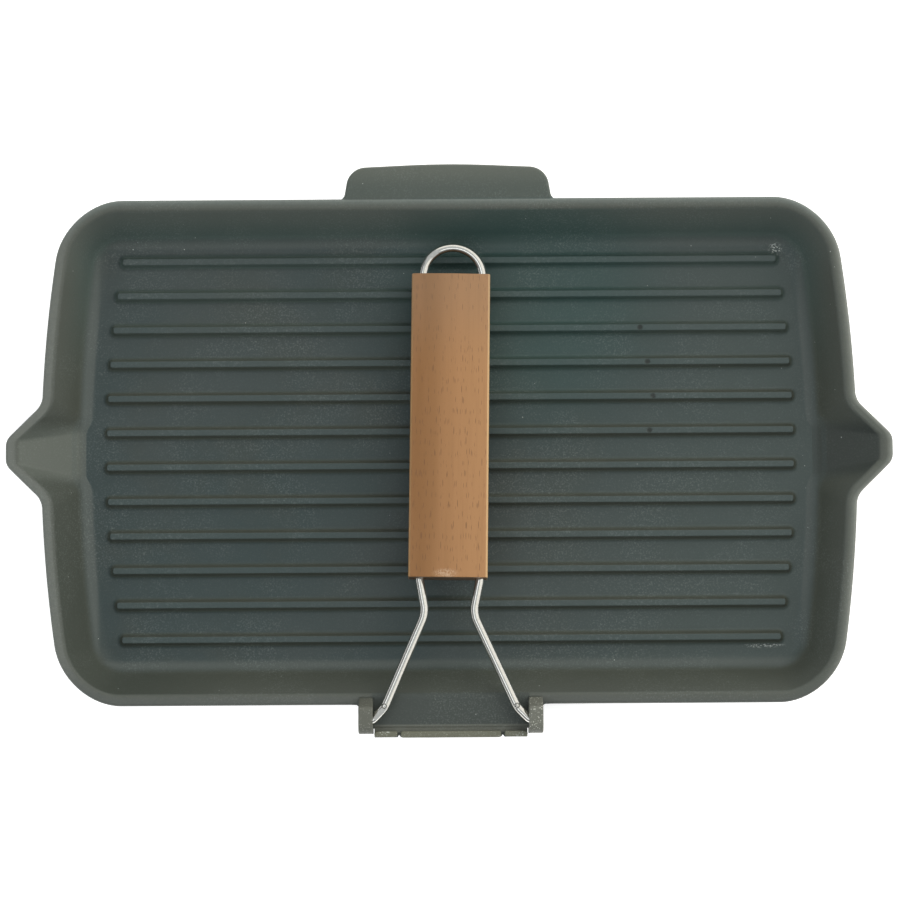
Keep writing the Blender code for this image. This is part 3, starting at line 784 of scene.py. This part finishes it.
def bore_mesh(side):
    """The ear's through bore, flared at its inner mouth and eased at its outer one."""
    outer = EAR_INNER_X + EAR_THICKNESS
    flare = (EAR_MOUTH_RADIUS - EAR_BORE_RADIUS) / EAR_MOUTH_DEPTH
    stations = [
        (EAR_INNER_X - CUT_MARGIN, EAR_MOUTH_RADIUS + flare * CUT_MARGIN),
        (EAR_INNER_X + EAR_MOUTH_DEPTH, EAR_BORE_RADIUS),
        (outer - BORE_MOUTH, EAR_BORE_RADIUS),
        (outer + CUT_MARGIN, EAR_BORE_RADIUS + BORE_MOUTH + CUT_MARGIN),
    ]
    rings = [(along, circle_points(radius, 0.0)) for along, radius in stations]
    turn = Matrix.Rotation(side * math.pi / 2, 4, "Y")
    place = Matrix.Translation((0.0, HINGE.y, HINGE.z)) @ turn
    return moved_mesh(lofted_mesh("bore", flat_rings(rings)), place)


def pan_mesh():
    """The whole casting: the shell, with its parts joined on and its slits and bores cut out."""
    shell = lofted_mesh("pan_body", flat_rings(outer_rings() + inner_rings()))
    ribs = joined_mesh("ribs", [rib_mesh(index) for index in range(RIB_COUNT)])
    steps = [
        ("UNION", ribs),
        ("UNION", tab_mesh()),
        ("UNION", web_mesh()),
        ("UNION", shelf_mesh()),
        ("UNION", joined_mesh("ears", [ear_mesh(-1), ear_mesh(1)])),
        ("UNION", joined_mesh("ear_fillets", [ear_fillet_mesh(-1), ear_fillet_mesh(1)])),
        ("UNION", joined_mesh("lips", lip_meshes())),
        ("DIFFERENCE", joined_mesh("front_cuts", front_cut_meshes())),
        ("DIFFERENCE", joined_mesh("bores", [bore_mesh(-1), bore_mesh(1)])),
    ]
    return combined_mesh("pan_body", shell, steps)


# ---------------- handle


def rest_slope():
    """How far the folded handle slopes down, so that the grip's far edge rests on the ribs."""
    drop = HINGE.z - (FLOOR_HEIGHT + RIB_HEIGHT + GAP)
    grip_end = GRIP_START + GRIP_LENGTH
    reach = math.hypot(grip_end, GRIP_THICKNESS / 2)
    return math.asin(drop / reach) - math.atan2(GRIP_THICKNESS / 2, grip_end)


def leaned(x, along):
    """Where a point of the leaning grip's own plane lies across and along the handle."""
    ahead = along - LEAN_CENTRE
    across = x * math.cos(HANDLE_LEAN) + ahead * math.sin(HANDLE_LEAN)
    return across, LEAN_CENTRE + ahead * math.cos(HANDLE_LEAN) - x * math.sin(HANDLE_LEAN)


def leg_path(side, loop_centre):
    """One side of the wire's centreline, from its pivot end to the start of the loop."""
    in_grip_x = BORE_SHIFT + side * WIRE_IN_GRIP_X
    waist_x = BORE_SHIFT + side * WAIST_X
    return rounded_path(
        [
            (side * WIRE_END_X, 0.0, 0.0, 0),
            (side * (KINK_X + KINK_ALONG), 0.0, PIVOT_BEND_RADIUS, BEND_STEPS),
            (side * KINK_X, KINK_ALONG, KINK_RADIUS, BEND_STEPS),
            (*leaned(waist_x, WAIST_ALONG), WAIST_RADIUS, WAIST_STEPS),
            (*leaned(in_grip_x, WIRE_STRAIGHT_FROM), ENTRY_RADIUS, EDGE_STEPS),
            (*leaned(in_grip_x, loop_centre), 0.0, 0),
        ],
        [1, 1, LEG_STEPS, 1, IN_GRIP_STEPS],
    )


def wire_path():
    """The wire's centreline in the handle's own plane, from one pivot end to the other."""
    loop_centre = GRIP_START + GRIP_LENGTH
    arc = []
    for step in range(1, LOOP_STEPS):
        angle = math.pi * step / LOOP_STEPS
        across = BORE_SHIFT + WIRE_IN_GRIP_X * math.cos(angle)
        arc.append(leaned(across, loop_centre + WIRE_IN_GRIP_X * math.sin(angle)))
    return leg_path(1, loop_centre) + arc + list(reversed(leg_path(-1, loop_centre)))


def wire_ring(point, ahead, radius):
    """A ring of the wire round a point of its centreline."""
    across = Vector((-ahead.y, ahead.x, 0.0))
    up = Vector((0.0, 0.0, 1.0))
    angles = [2 * math.pi * i / WIRE_SIDES for i in range(WIRE_SIDES)]
    return [point + (across * math.cos(a) + up * math.sin(a)) * radius for a in angles]


def eased_end(point, ahead, outwards):
    """The stations that round off one end of the wire, the outermost last."""
    stations = []
    for step in range(EDGE_STEPS + 1):
        angle = math.pi / 2 * step / EDGE_STEPS
        back = WIRE_END_ROUND * (1 - math.sin(angle))
        shrunk = WIRE_RADIUS - WIRE_END_ROUND * (1 - math.cos(angle))
        stations.append((point - ahead * outwards * back, ahead, shrunk))
    return stations


def wire_mesh():
    """A round rod swept along the wire's path, with eased ends."""
    points = [Vector((x, y, 0.0)) for x, y in wire_path()]
    stations = []
    for index, point in enumerate(points):
        before = points[max(index - 1, 0)]
        after = points[min(index + 1, len(points) - 1)]
        stations.append((point, (after - before).normalized(), WIRE_RADIUS))
    first = eased_end(*stations[0][:2], -1)
    last = eased_end(*stations[-1][:2], 1)
    stations = list(reversed(first)) + stations[1:-1] + last
    return lofted_mesh("wire_handle", [wire_ring(*station) for station in stations])


def grip_section(shrink):
    """The grip's cross-section as (x, z) points, crowned above and below, smaller by shrink."""
    half_width = GRIP_WIDTH / 2 - shrink
    half_thickness = GRIP_THICKNESS / 2 - shrink
    edge_z = half_thickness - GRIP_CROWN
    corners = [
        (half_width, -edge_z, GRIP_EDGE, EDGE_STEPS),
        (half_width, edge_z, GRIP_EDGE, EDGE_STEPS),
        (0.0, half_thickness + GRIP_CROWN, GRIP_CROWN_RADIUS, FILLET_STEPS),
        (-half_width, edge_z, GRIP_EDGE, EDGE_STEPS),
        (-half_width, -edge_z, GRIP_EDGE, EDGE_STEPS),
        (0.0, -half_thickness - GRIP_CROWN, GRIP_CROWN_RADIUS, FILLET_STEPS),
    ]
    outline = rounded_loop(corners)
    reach = max(z for _, z in outline)
    return [(x, z * half_thickness / reach) for x, z in outline]


def grip_mesh():
    """The beech block with its two bores, drawn from the hinge end, its far end towards +Y."""
    stations = edge_stations(0.0, GRIP_LENGTH, GRIP_END_EDGE, GRIP_END_EDGE)
    rings = [[(x, y, z) for x, z in grip_section(shrink)] for y, shrink in stations]
    block = lofted_mesh("beech_grip", rings)
    bores = []
    wide = GRIP_BORE_RADIUS + BORE_MOUTH + CUT_MARGIN
    for side in (-1, 1):
        centre = BORE_SHIFT + side * WIRE_IN_GRIP_X
        cuts = [
            (-CUT_MARGIN, wide),
            (BORE_MOUTH, GRIP_BORE_RADIUS),
            (GRIP_LENGTH - BORE_MOUTH, GRIP_BORE_RADIUS),
            (GRIP_LENGTH + CUT_MARGIN, wide),
        ]
        circles = [(along, circle_points(radius, centre)) for along, radius in cuts]
        turned = [[(x, along, z) for x, z in circle] for along, circle in circles]
        bores.append(lofted_mesh("grip_bore", turned))
    return combined_mesh("beech_grip", block, [("DIFFERENCE", joined_mesh("grip_bores", bores))])


# ---------------- node helpers


def node_in(tree, kind, values=None, **settings):
    """A new node. Values are given to its inputs, and a value that is a socket is linked."""
    made = tree.nodes.new(kind)
    for key, value in settings.items():
        setattr(made, key, value)
    for key, value in (values or {}).items():
        if isinstance(value, bpy.types.NodeSocket):
            tree.links.new(value, made.inputs[key])
        else:
            made.inputs[key].default_value = value
    return made


def node(kind, values, **settings):
    """A new node, in the node tree of the sockets among its values."""
    sockets = (value for value in values.values() if isinstance(value, bpy.types.NodeSocket))
    return node_in(next(sockets).id_data, kind, values, **settings)


def maths(operation, first, second=0.0):
    """The result of a two-input Math node."""
    return node("ShaderNodeMath", {0: first, 1: second}, operation=operation).outputs[0]


def times(first, *others):
    """The product of shares."""
    for other in others:
        first = maths("MULTIPLY", first, other)
    return first


def greater(first, second):
    """The greater of two shares."""
    return maths("MAXIMUM", first, second)


def size_of(value):
    """The value without its sign."""
    return maths("ABSOLUTE", value)


def ranged(value, low, high, to_low=0.0, to_high=1.0):
    """The value's smooth step from low to high, as a number from to_low to to_high."""
    values = {"Value": value, "From Min": low, "From Max": high, "To Min": to_low, "To Max": to_high}
    return node("ShaderNodeMapRange", values, interpolation_type="SMOOTHSTEP").outputs[0]


def fading(value, low, high):
    """1 below low, falling to 0 at high."""
    return ranged(value, low, high, 1.0, 0.0)


def within(value, low, high, soft):
    """1 between low and high, falling to 0 over soft beyond each."""
    return times(ranged(value, low - soft, low), fading(value, high, high + soft))


def near_point(place, point, radius, soft):
    """1 within radius of a point, and 0 beyond radius + soft."""
    away = node("ShaderNodeVectorMath", {0: place, 1: point}, operation="DISTANCE")
    return fading(away.outputs["Value"], radius, radius + soft)


def blended(share, low, high):
    """A colour between two colours, or two colour sockets."""
    ends = [value if isinstance(value, bpy.types.NodeSocket) else (*value, 1.0) for value in (low, high)]
    return node("ShaderNodeMix", {0: share, 6: ends[0], 7: ends[1]}, data_type="RGBA").outputs[2]


def layered(colour, *layers):
    """A colour under (share, colour) layers, the last one on top."""
    for share, layer in layers:
        colour = blended(share, colour, layer)
    return colour


def axes(vector):
    """The X, Y and Z of a vector."""
    return node("ShaderNodeSeparateXYZ", {0: vector}).outputs


def surface_normal(tree):
    """The X, Y and Z of the surface's own normal."""
    return axes(node_in(tree, "ShaderNodeNewGeometry").outputs["Normal"])


def noise(place, scale, detail=3.0, roughness=0.5):
    """A noise pattern from 0 to 1. Scale is in features per metre."""
    values = {"Vector": place, "Scale": scale, "Detail": detail, "Roughness": roughness}
    return node("ShaderNodeTexNoise", values).outputs[0]


def stretched(place, scale):
    """The place scaled along each axis: a pattern read there is longer where the scale is below 1."""
    return node("ShaderNodeMapping", {"Vector": place, "Scale": scale}).outputs[0]


def speckles(place, cell, size, share):
    """Small dots, each with its own size: one in that share of the cells."""
    cells = node("ShaderNodeTexVoronoi", {"Vector": place, "Scale": 1 / cell})
    chance = node("ShaderNodeSeparateColor", {"Color": cells.outputs["Color"]})
    chosen = maths("LESS_THAN", chance.outputs[0], share)
    radius = times(chance.outputs[1], size / cell)
    inside = maths("SUBTRACT", radius, cells.outputs["Distance"])
    dot = ranged(inside, 0.0, 0.35 * size / cell)
    return times(dot, chosen)


def bumped(height, strength, distance, normal=None):
    """A normal tilted by a height pattern, on top of another normal if there is one."""
    values = {"Height": height, "Strength": strength, "Distance": distance}
    if normal is not None:
        values["Normal"] = normal
    return node("ShaderNodeBump", values).outputs[0]


def new_material(name):
    """A material with its node tree, its shader and the object's own coordinates."""
    made = bpy.data.materials.new(name)
    made.use_nodes = True
    tree = made.node_tree
    shader = tree.nodes["Principled BSDF"]
    place = node_in(tree, "ShaderNodeTexCoord").outputs["Object"]
    return made, tree, shader, place


# ---------------- cast iron


def floor_colour(place, patches):
    """The floor: cool greys with olive patches, and painted light that makes it paler towards +X."""
    clouds = noise(place, 9.0, 3.0, 0.5)
    return layered(
        FLOOR_COOL,
        (ranged(clouds, 0.4, 0.62), FLOOR_GREY),
        (ranged(patches, 0.45, 0.75, 0.0, 0.6), FLOOR_OLIVE),
        # painted light: the floor paler towards +X
        (ranged(axes(place)[0], -20 * MM, 150 * MM, 0.0, 0.8), FLOOR_PAINTED_LIGHT),
    )


def wall_colour(place):
    """The walls: olive on the hinge side, cooler on the tab side, and paler higher up with painted light,
    most on the tab side.
    """
    x, y, z = axes(place)
    corner = times(ranged(x, -80 * MM, -150 * MM), ranged(y, 30 * MM, -60 * MM))
    # painted light: the upper walls paler, most on the tab side
    high = layered(PAINTED_WALL_LIGHT_AND_RIM_SHADE, (ranged(y, 70 * MM, 100 * MM), WALL_TOP_PAINTED_LIGHT))
    return layered(
        WALL_OLIVE,
        (ranged(y, 20 * MM, 100 * MM), WALL_COOL),
        (ranged(z, RIM_HEIGHT * 0.3, RIM_HEIGHT), high),
        (corner, WALL_DIM),
    )


def fillet_highlight_share(place, up):
    """1 on the painted highlight along the fillet round the floor, and 0 on the ribs' own fillets."""
    x, y, z = axes(place)
    bend = times(ranged(up, 0.66, 0.88), fading(up, 0.97, 1.0))
    low = fading(z, FLOOR_HEIGHT + 4 * MM, FLOOR_HEIGHT + 6 * MM)
    past_ends = maths("SUBTRACT", size_of(x), RIB_HALF_LENGTH + 3 * MM)
    past_sides = maths("SUBTRACT", size_of(y), 93 * MM)
    past = greater(past_ends, past_sides)
    return times(bend, low, ranged(past, -1 * MM, 2 * MM), fading(past, 8 * MM, 9 * MM))


def bowl_colour(place, up, patches):
    """The walls and the floor with a painted highlight on the fillet between them, the spouts with painted
    light at -X and painted shade at +X, and the rib tops.
    """
    x, y, z = axes(place)
    level = ranged(up, 0.55, 1.0)
    inside = ranged(up, -0.1, 0.1)
    far_out = ranged(size_of(x), 163 * MM, 169 * MM)
    channel = times(far_out, within(size_of(y), 0.0, 8 * MM, 7 * MM))
    # painted light in the spout channel at -X, painted shade in the one at +X
    spout = layered(SPOUT_PAINTED_LIGHT, (ranged(x, -1 * MM, 1 * MM), SPOUT_PAINTED_SHADE))
    teal = near_point(place, TEAL_PLACE, 25 * MM, 55 * MM)
    rib_top = within(z, FLOOR_HEIGHT + 3 * MM, FLOOR_HEIGHT + 4 * MM, 0.4 * MM)
    return layered(
        wall_colour(place),
        (level, floor_colour(place, patches)),
        # painted highlight along the fillet round the floor
        (fillet_highlight_share(place, up), FILLET_PAINTED_HIGHLIGHT),
        (times(channel, inside), spout),
        (times(teal, inside, 0.6), TEAL),
        (times(rib_top, level, 0.35), RIB_TOP),
    )


def outwardness(x, y, normal):
    """How far a surface near the pan's edge tilts outwards: below 0 on the rim's inner half."""
    across = maths("POWER", maths("DIVIDE", x, HALF_LENGTH), 3.0)
    along = maths("POWER", maths("DIVIDE", y, HALF_DEPTH), 3.0)
    return maths("ADD", times(normal[0], across), times(normal[1], along))


def rim_colour(place, normal):
    """The rim: cooler on the tab side and darker at the bracket, with painted light that makes it paler
    towards +X and +Y and at the spout ends, and painted shade on its inner edge, most on the +X and +Y
    sides.
    """
    x, y, _ = axes(place)
    # painted shade: more of the rim's inner half is darkened on the +X and +Y sides
    shade_side = greater(ranged(x, 20 * MM, 120 * MM), ranged(y, 80 * MM, 110 * MM))
    shade_tilt = maths("SUBTRACT", outwardness(x, y, normal), times(shade_side, 0.25))
    near_bracket = within(size_of(x), 0.0, EAR_INNER_X, 1 * MM)
    return layered(
        RIM_PALE,
        # painted light: the rim paler towards +X and +Y and at the spout ends
        (ranged(maths("ADD", x, y), 130 * MM, 340 * MM), RIM_LIT),
        (ranged(x, -160 * MM, -178 * MM, 0.0, 0.4), RIM_LIT),
        (ranged(x, 160 * MM, 178 * MM), RIM_LIT),
        (ranged(y, 90 * MM, 110 * MM, 0.0, 0.8), RIM_COOL),
        (ranged(y, -90 * MM, -110 * MM, 0.0, 0.3), SHELF_GREY),
        # painted shade: the rim's inner half darker where it tilts inwards
        (fading(shade_tilt, -0.4, 0.0), PAINTED_WALL_LIGHT_AND_RIM_SHADE),
        (times(near_bracket, ranged(y, 0.0, -100 * MM)), SHELF_GREY),
    )


def above_rim(z):
    """1 on the ears and the lip, the only parts that stand above the rim."""
    return ranged(z, RIM_HEIGHT + 1 * MM, RIM_HEIGHT + 2 * MM)


def with_bracket_and_tab(place, colour):
    """The colour so far, with the shelf, its groove with painted light, the ears, the lip and the helper
    tab put in; painted light makes the tab paler towards its outer edge.
    """
    x, y, z = axes(place)
    between = within(size_of(x), 0.0, EAR_INNER_X - 0.6 * MM, 0.5 * MM)
    beyond = ranged(y, -HALF_DEPTH + 5 * MM, -HALF_DEPTH + 1 * MM)
    low_part = fading(z, RIM_HEIGHT + 0.5 * MM, RIM_HEIGHT + 2 * MM)
    shelf = times(beyond, between, low_part)
    groove = within(y, LIP_BACK_Y - 0.5 * MM, LIP_BACK_Y + GROOVE_WIDTH, 1 * MM)
    high = above_rim(z)
    bracket = layered(BRACKET_DIM, (ranged(x, -1 * MM, 1 * MM), BRACKET_PALE))
    # painted light: the tab paler towards its outer edge
    tab = layered(TAB_GREY, (ranged(y, HALF_DEPTH + 3 * MM, TAB_REACH_Y), TAB_PAINTED_LIGHT))
    return layered(
        colour,
        (shelf, SHELF_GREY),
        # painted light in the groove behind the lip, over the shade that falls there
        (times(shelf, groove), GROOVE_PAINTED_LIGHT),
        (high, bracket),
        (times(high, between), LIP_OLIVE),
        (ranged(y, HALF_DEPTH + 0.2 * MM, HALF_DEPTH + 0.6 * MM), tab),
    )


def rib_flaws(place):
    """1 on the small dark casting flaws on the ribs."""
    flaws = 0.0
    for x, step in RIB_FLAWS:
        spot = (x, RIB_CENTRE_Y + step * RIB_PITCH, FLOOR_HEIGHT + RIB_HEIGHT)
        flaws = greater(flaws, near_point(place, spot, 0.7 * MM, 1.0 * MM))
    return flaws


def dusted(place, colour):
    """Sparse pale specks all over, and fine dust in soft patches."""
    specks = speckles(place, 5.5 * MM, 0.34 * MM, 0.45)
    patches = ranged(noise(place, 30.0, 3.0, 0.6), 0.42, 0.64, 0.25, 1.0)
    fine = speckles(place, 0.85 * MM, 0.30 * MM, 0.5)
    powder = ranged(noise(place, 1250.0, 2.0, 0.7), 0.48, 0.72, 0.0, 0.16)
    return layered(
        colour,
        (times(specks, 0.7), SPECK_PALE),
        (times(fine, patches, 0.13), DUST_PALE),
        (times(powder, patches), DUST_PALE),
    )


def grit(place):
    """Pale grains on the lip and the ears, thickest on the ear at +X."""
    x, _, z = axes(place)
    high = above_rim(z)
    thick = times(ranged(x, EAR_INNER_X - 1 * MM, EAR_INNER_X), high)
    amount = greater(thick, times(high, 0.3))
    return times(speckles(place, 0.62 * MM, 0.36 * MM, 0.8), amount, 0.75)


def scuffs(place):
    """Where the coat is worn pale: a scratched patch, chips on the lip's pads, and one long scratch."""
    areas = near_point(place, SCRATCHED_PLACE, 1.2 * MM, 2.6 * MM)
    for side, x in PAD_CHIPS:
        chip = (side * x, LIP_BACK_Y - 1.0 * MM - 0.4 * MM * side, LIP_TOP)
        areas = greater(areas, near_point(place, chip, 0.3 * MM, 1.3 * MM))
    flattened = stretched(place, (SCRATCH_SQUEEZE, 1.0, 1.0))
    middle = (SCRATCH_SQUEEZE * LONG_SCRATCH[0], *LONG_SCRATCH[1:])
    scratch = near_point(flattened, middle, 0.3 * MM, 1.1 * MM)
    areas = greater(areas, times(scratch, 0.7))
    return times(areas, ranged(noise(place, 1150.0, 2.0, 0.8), 0.53, 0.60), 0.9)


def cast_iron_material():
    """A dark seasoned coat: cool on the floor, greener on the walls, paler on the rim and the bracket, with
    painted light and shade in places.
    """
    made, tree, shader, place = new_material("seasoned_cast_iron")
    z = axes(place)[2]
    normal = surface_normal(tree)
    patches = noise(place, 26.0, 4.0, 0.6)
    grain = noise(place, 480.0, 3.0, 0.6)
    flaws = rib_flaws(place)
    rim = ranged(z, RIM_HEIGHT - 1.3 * MM, RIM_HEIGHT - 0.3 * MM)
    rim = times(rim, ranged(grain, 0.3, 0.6, 0.85, 1.0))

    colour = bowl_colour(place, normal[2], patches)
    colour = layered(colour, (rim, rim_colour(place, normal)))
    colour = with_bracket_and_tab(place, colour)
    colour = layered(colour, (times(flaws, 0.9), FLAW_DARK))
    colour = dusted(place, colour)
    colour = layered(colour, (grit(place), GRIT_PALE), (scuffs(place), SCUFF_PALE))
    tree.links.new(colour, shader.inputs["Base Color"])

    tree.links.new(ranged(patches, 0.3, 0.7, 0.44, 0.56), shader.inputs["Roughness"])
    skin = bumped(noise(place, 240.0, 4.0, 0.65), 0.3, 0.25 * MM)
    skin = bumped(grain, 0.25, 0.09 * MM, skin)
    skin = bumped(maths("SUBTRACT", 1.0, flaws), 0.6, 0.3 * MM, skin)
    tree.links.new(skin, shader.inputs["Normal"])
    return made


# ---------------- chrome, beech and studio floor


def chrome_material():
    """Bright plated wire: a faint drawn texture, and a ring-shaped tool mark at each kink."""
    made, tree, shader, place = new_material("bright_chrome")
    drawn = noise(place, 900.0, 3.0, 0.6)
    colour = blended(ranged(drawn, 0.35, 0.7), CHROME_DULL, CHROME_BRIGHT)
    marks = 0.0
    for side in (-1, 1):
        point = (side * KINK_X, KINK_ALONG + 0.6 * MM, WIRE_RADIUS)
        outer = near_point(place, point, 1.1 * MM, 0.3 * MM)
        inner = near_point(place, point, 0.5 * MM, 0.3 * MM)
        marks = maths("ADD", marks, maths("SUBTRACT", outer, inner))
    colour = blended(times(marks, 0.7), colour, MARK_DARK)
    tree.links.new(colour, shader.inputs["Base Color"])
    shader.inputs["Metallic"].default_value = 1.0
    tree.links.new(ranged(drawn, 0.3, 0.75, 0.05, 0.12), shader.inputs["Roughness"])
    skin = bumped(drawn, 0.05, 0.02 * MM)
    tree.links.new(bumped(marks, 0.6, 0.15 * MM, skin), shader.inputs["Normal"])
    return made


def hinge_end_highlight_share(place):
    """The pale painted highlight on top of the grip, at its hinge end."""
    flattened = stretched(place, (0.42, 1.0, 1.0))
    middle = (-0.4 * MM, 1.6 * MM, GRIP_THICKNESS / 2)
    patch = near_point(flattened, middle, 0.7 * MM, 2.2 * MM)
    return times(patch, ranged(noise(place, 1400.0, 2.0, 0.7), 0.42, 0.62, 0.1, 0.8))


def beech_material():
    """Oiled beech: grain along the grip, short dark flecks and dark end grain, with painted shade at -X and
    painted light at +X, painted highlights on its edges and its hinge end, and painted shade at its far
    end.
    """
    made, tree, shader, place = new_material("oiled_beech")
    x, y, _ = axes(place)
    bands = noise(stretched(place, (1.0, 0.05, 1.0)), 95.0, 3.0, 0.5)
    fibres = noise(stretched(place, (1.0, 0.03, 1.0)), 900.0, 4.0, 0.65)
    flecks = speckles(stretched(place, (1.0, 0.09, 1.0)), 0.42 * MM, 0.195 * MM, 0.75)

    half_width = GRIP_WIDTH / 2
    # painted highlight on the long edges, stronger on the +X side
    edges = ranged(size_of(x), half_width - 1.1 * MM, half_width - 0.5 * MM)
    edges = times(edges, ranged(x, -half_width, half_width, 0.25, 0.75))
    end_grain = ranged(size_of(surface_normal(tree)[1]), 0.75, 0.95)
    colour = layered(
        WOOD_TONE_PAINTED_SHADE,
        # partly the wood's own tone, partly painted shade at -X and painted light at +X
        (ranged(x, -half_width, GRIP_WIDTH * 0.42), WOOD_TONE_PAINTED_LIGHT),
        (ranged(bands, 0.35, 0.7, 0.0, 0.4), WOOD_BAND),
        (ranged(fibres, 0.45, 0.75, 0.0, 0.3), WOOD_FIBRE),
        (times(flecks, 0.65), WOOD_FLECK),
        (edges, WOOD_EDGE_PAINTED_HIGHLIGHT),
        # painted shade towards the grip's far end
        (ranged(y, GRIP_LENGTH * 0.65, GRIP_LENGTH, 0.0, 0.3), WOOD_FAR_END_PAINTED_SHADE),
        (times(end_grain, 0.8), END_GRAIN),
        # painted highlight on top of the grip at its hinge end
        (hinge_end_highlight_share(place), WOOD_HINGE_END_HIGHLIGHT),
    )
    tree.links.new(colour, shader.inputs["Base Color"])

    tree.links.new(ranged(bands, 0.3, 0.7, 0.42, 0.55), shader.inputs["Roughness"])
    skin = bumped(fibres, 0.2, 0.1 * MM)
    skin = bumped(maths("SUBTRACT", 1.0, flecks), 0.25, 0.08 * MM, skin)
    tree.links.new(skin, shader.inputs["Normal"])
    return made


def stage_material():
    """A pale floor that glows a little, so that it stays nearly white round the pan."""
    made, tree, shader, place = new_material("studio_floor")
    colour = blended(noise(place, 2.0, 2.0, 0.5), STAGE_DULL, STAGE_BRIGHT)
    tree.links.new(colour, shader.inputs["Base Color"])
    shader.inputs["Roughness"].default_value = 0.9
    shader.inputs["Emission Color"].default_value = (1.0, 1.0, 1.0, 1.0)
    shader.inputs["Emission Strength"].default_value = STAGE_GLOW
    return made


# ---------------- pieces and studio


def build_pan():
    """The casting, in the frame's own axes."""
    piece = finished_piece("pan_body", pan_mesh(), cast_iron_material())
    hand_over(piece, "pan", "pan_casting")


def build_handle():
    """The wire and the grip, moved from the handle's plane to where the folded handle rests."""
    place = Matrix.Translation(HINGE) @ Matrix.Rotation(-rest_slope(), 4, "X")
    wire = finished_piece("wire_handle", wire_mesh(), chrome_material())
    wire.matrix_world = place
    hand_over(wire, "handle", "handle_wire")
    grip = finished_piece("beech_grip", grip_mesh(), beech_material())
    lean = Matrix.Translation((*leaned(0.0, GRIP_START), 0.0)) @ Matrix.Rotation(-HANDLE_LEAN, 4, "Z")
    grip.matrix_world = place @ lean
    hand_over(grip, "handle", "wood_grip")


def build_stage():
    """The floor under the pan."""
    shape = bmesh.new()
    bmesh.ops.create_grid(shape, x_segments=8, y_segments=8, size=STAGE_HALF)
    floor = new_object("studio_floor", finished_mesh("studio_floor", shape))
    floor.data.materials.append(stage_material())


def area_light(name, place, side, power, colour):
    """A soft square light that faces the pan. Nothing mirrors it."""
    lamp = bpy.data.lights.new(name, "AREA")
    lamp.shape = "SQUARE"
    lamp.size = side
    lamp.energy = power
    lamp.color = colour
    holder = new_object(name, lamp)
    holder.location = place
    holder.rotation_euler = (-Vector(place)).to_track_quat("-Z", "Y").to_euler()
    holder.visible_glossy = False


def build_world():
    """Surroundings in soft zones, which give the wire its streaks."""
    world = bpy.data.worlds.new("studio")
    bpy.context.scene.world = world
    world.use_nodes = True
    tree = world.node_tree
    direction = node_in(tree, "ShaderNodeTexCoord").outputs["Generated"]
    height = axes(direction)[2]
    values = {0: direction, 1: BRIGHT_TOWARDS}
    lit_side = node("ShaderNodeVectorMath", values, operation="DOT_PRODUCT").outputs["Value"]
    beyond_ring = greater(ranged(height, 0.955, 0.965), ranged(lit_side, -0.03, 0.0))
    colour = layered(
        DARK_SIDE,
        (within(height, 0.83, 0.945, 0.01), OVERHEAD_RING),
        (beyond_ring, MIDDLE_GREY),
        (ranged(lit_side, 0.22, 0.34), BRIGHT_SIDE),
        (fading(height, 0.12, 0.18), HORIZON),
    )
    tree.links.new(colour, tree.nodes["Background"].inputs["Color"])


def build_camera():
    """The photograph's view: nearly straight down, with a long lens."""
    lens = bpy.data.cameras.new("camera")
    lens.lens = LENS_MM
    lens.sensor_width = SENSOR_MM
    camera = new_object("camera", lens)
    turn = Matrix.Rotation(CAMERA_TILT, 4, "X") @ Matrix.Rotation(CAMERA_ROLL, 4, "Z")
    camera.matrix_world = Matrix.Translation(AIM) @ turn @ Matrix.Translation((0, 0, CAMERA_DISTANCE))
    bpy.context.scene.camera = camera
    bpy.context.scene.view_settings.view_transform = "Standard"


build_pan()
build_handle()
build_stage()
for light in LIGHTS:
    area_light(*light)
build_world()
build_camera()
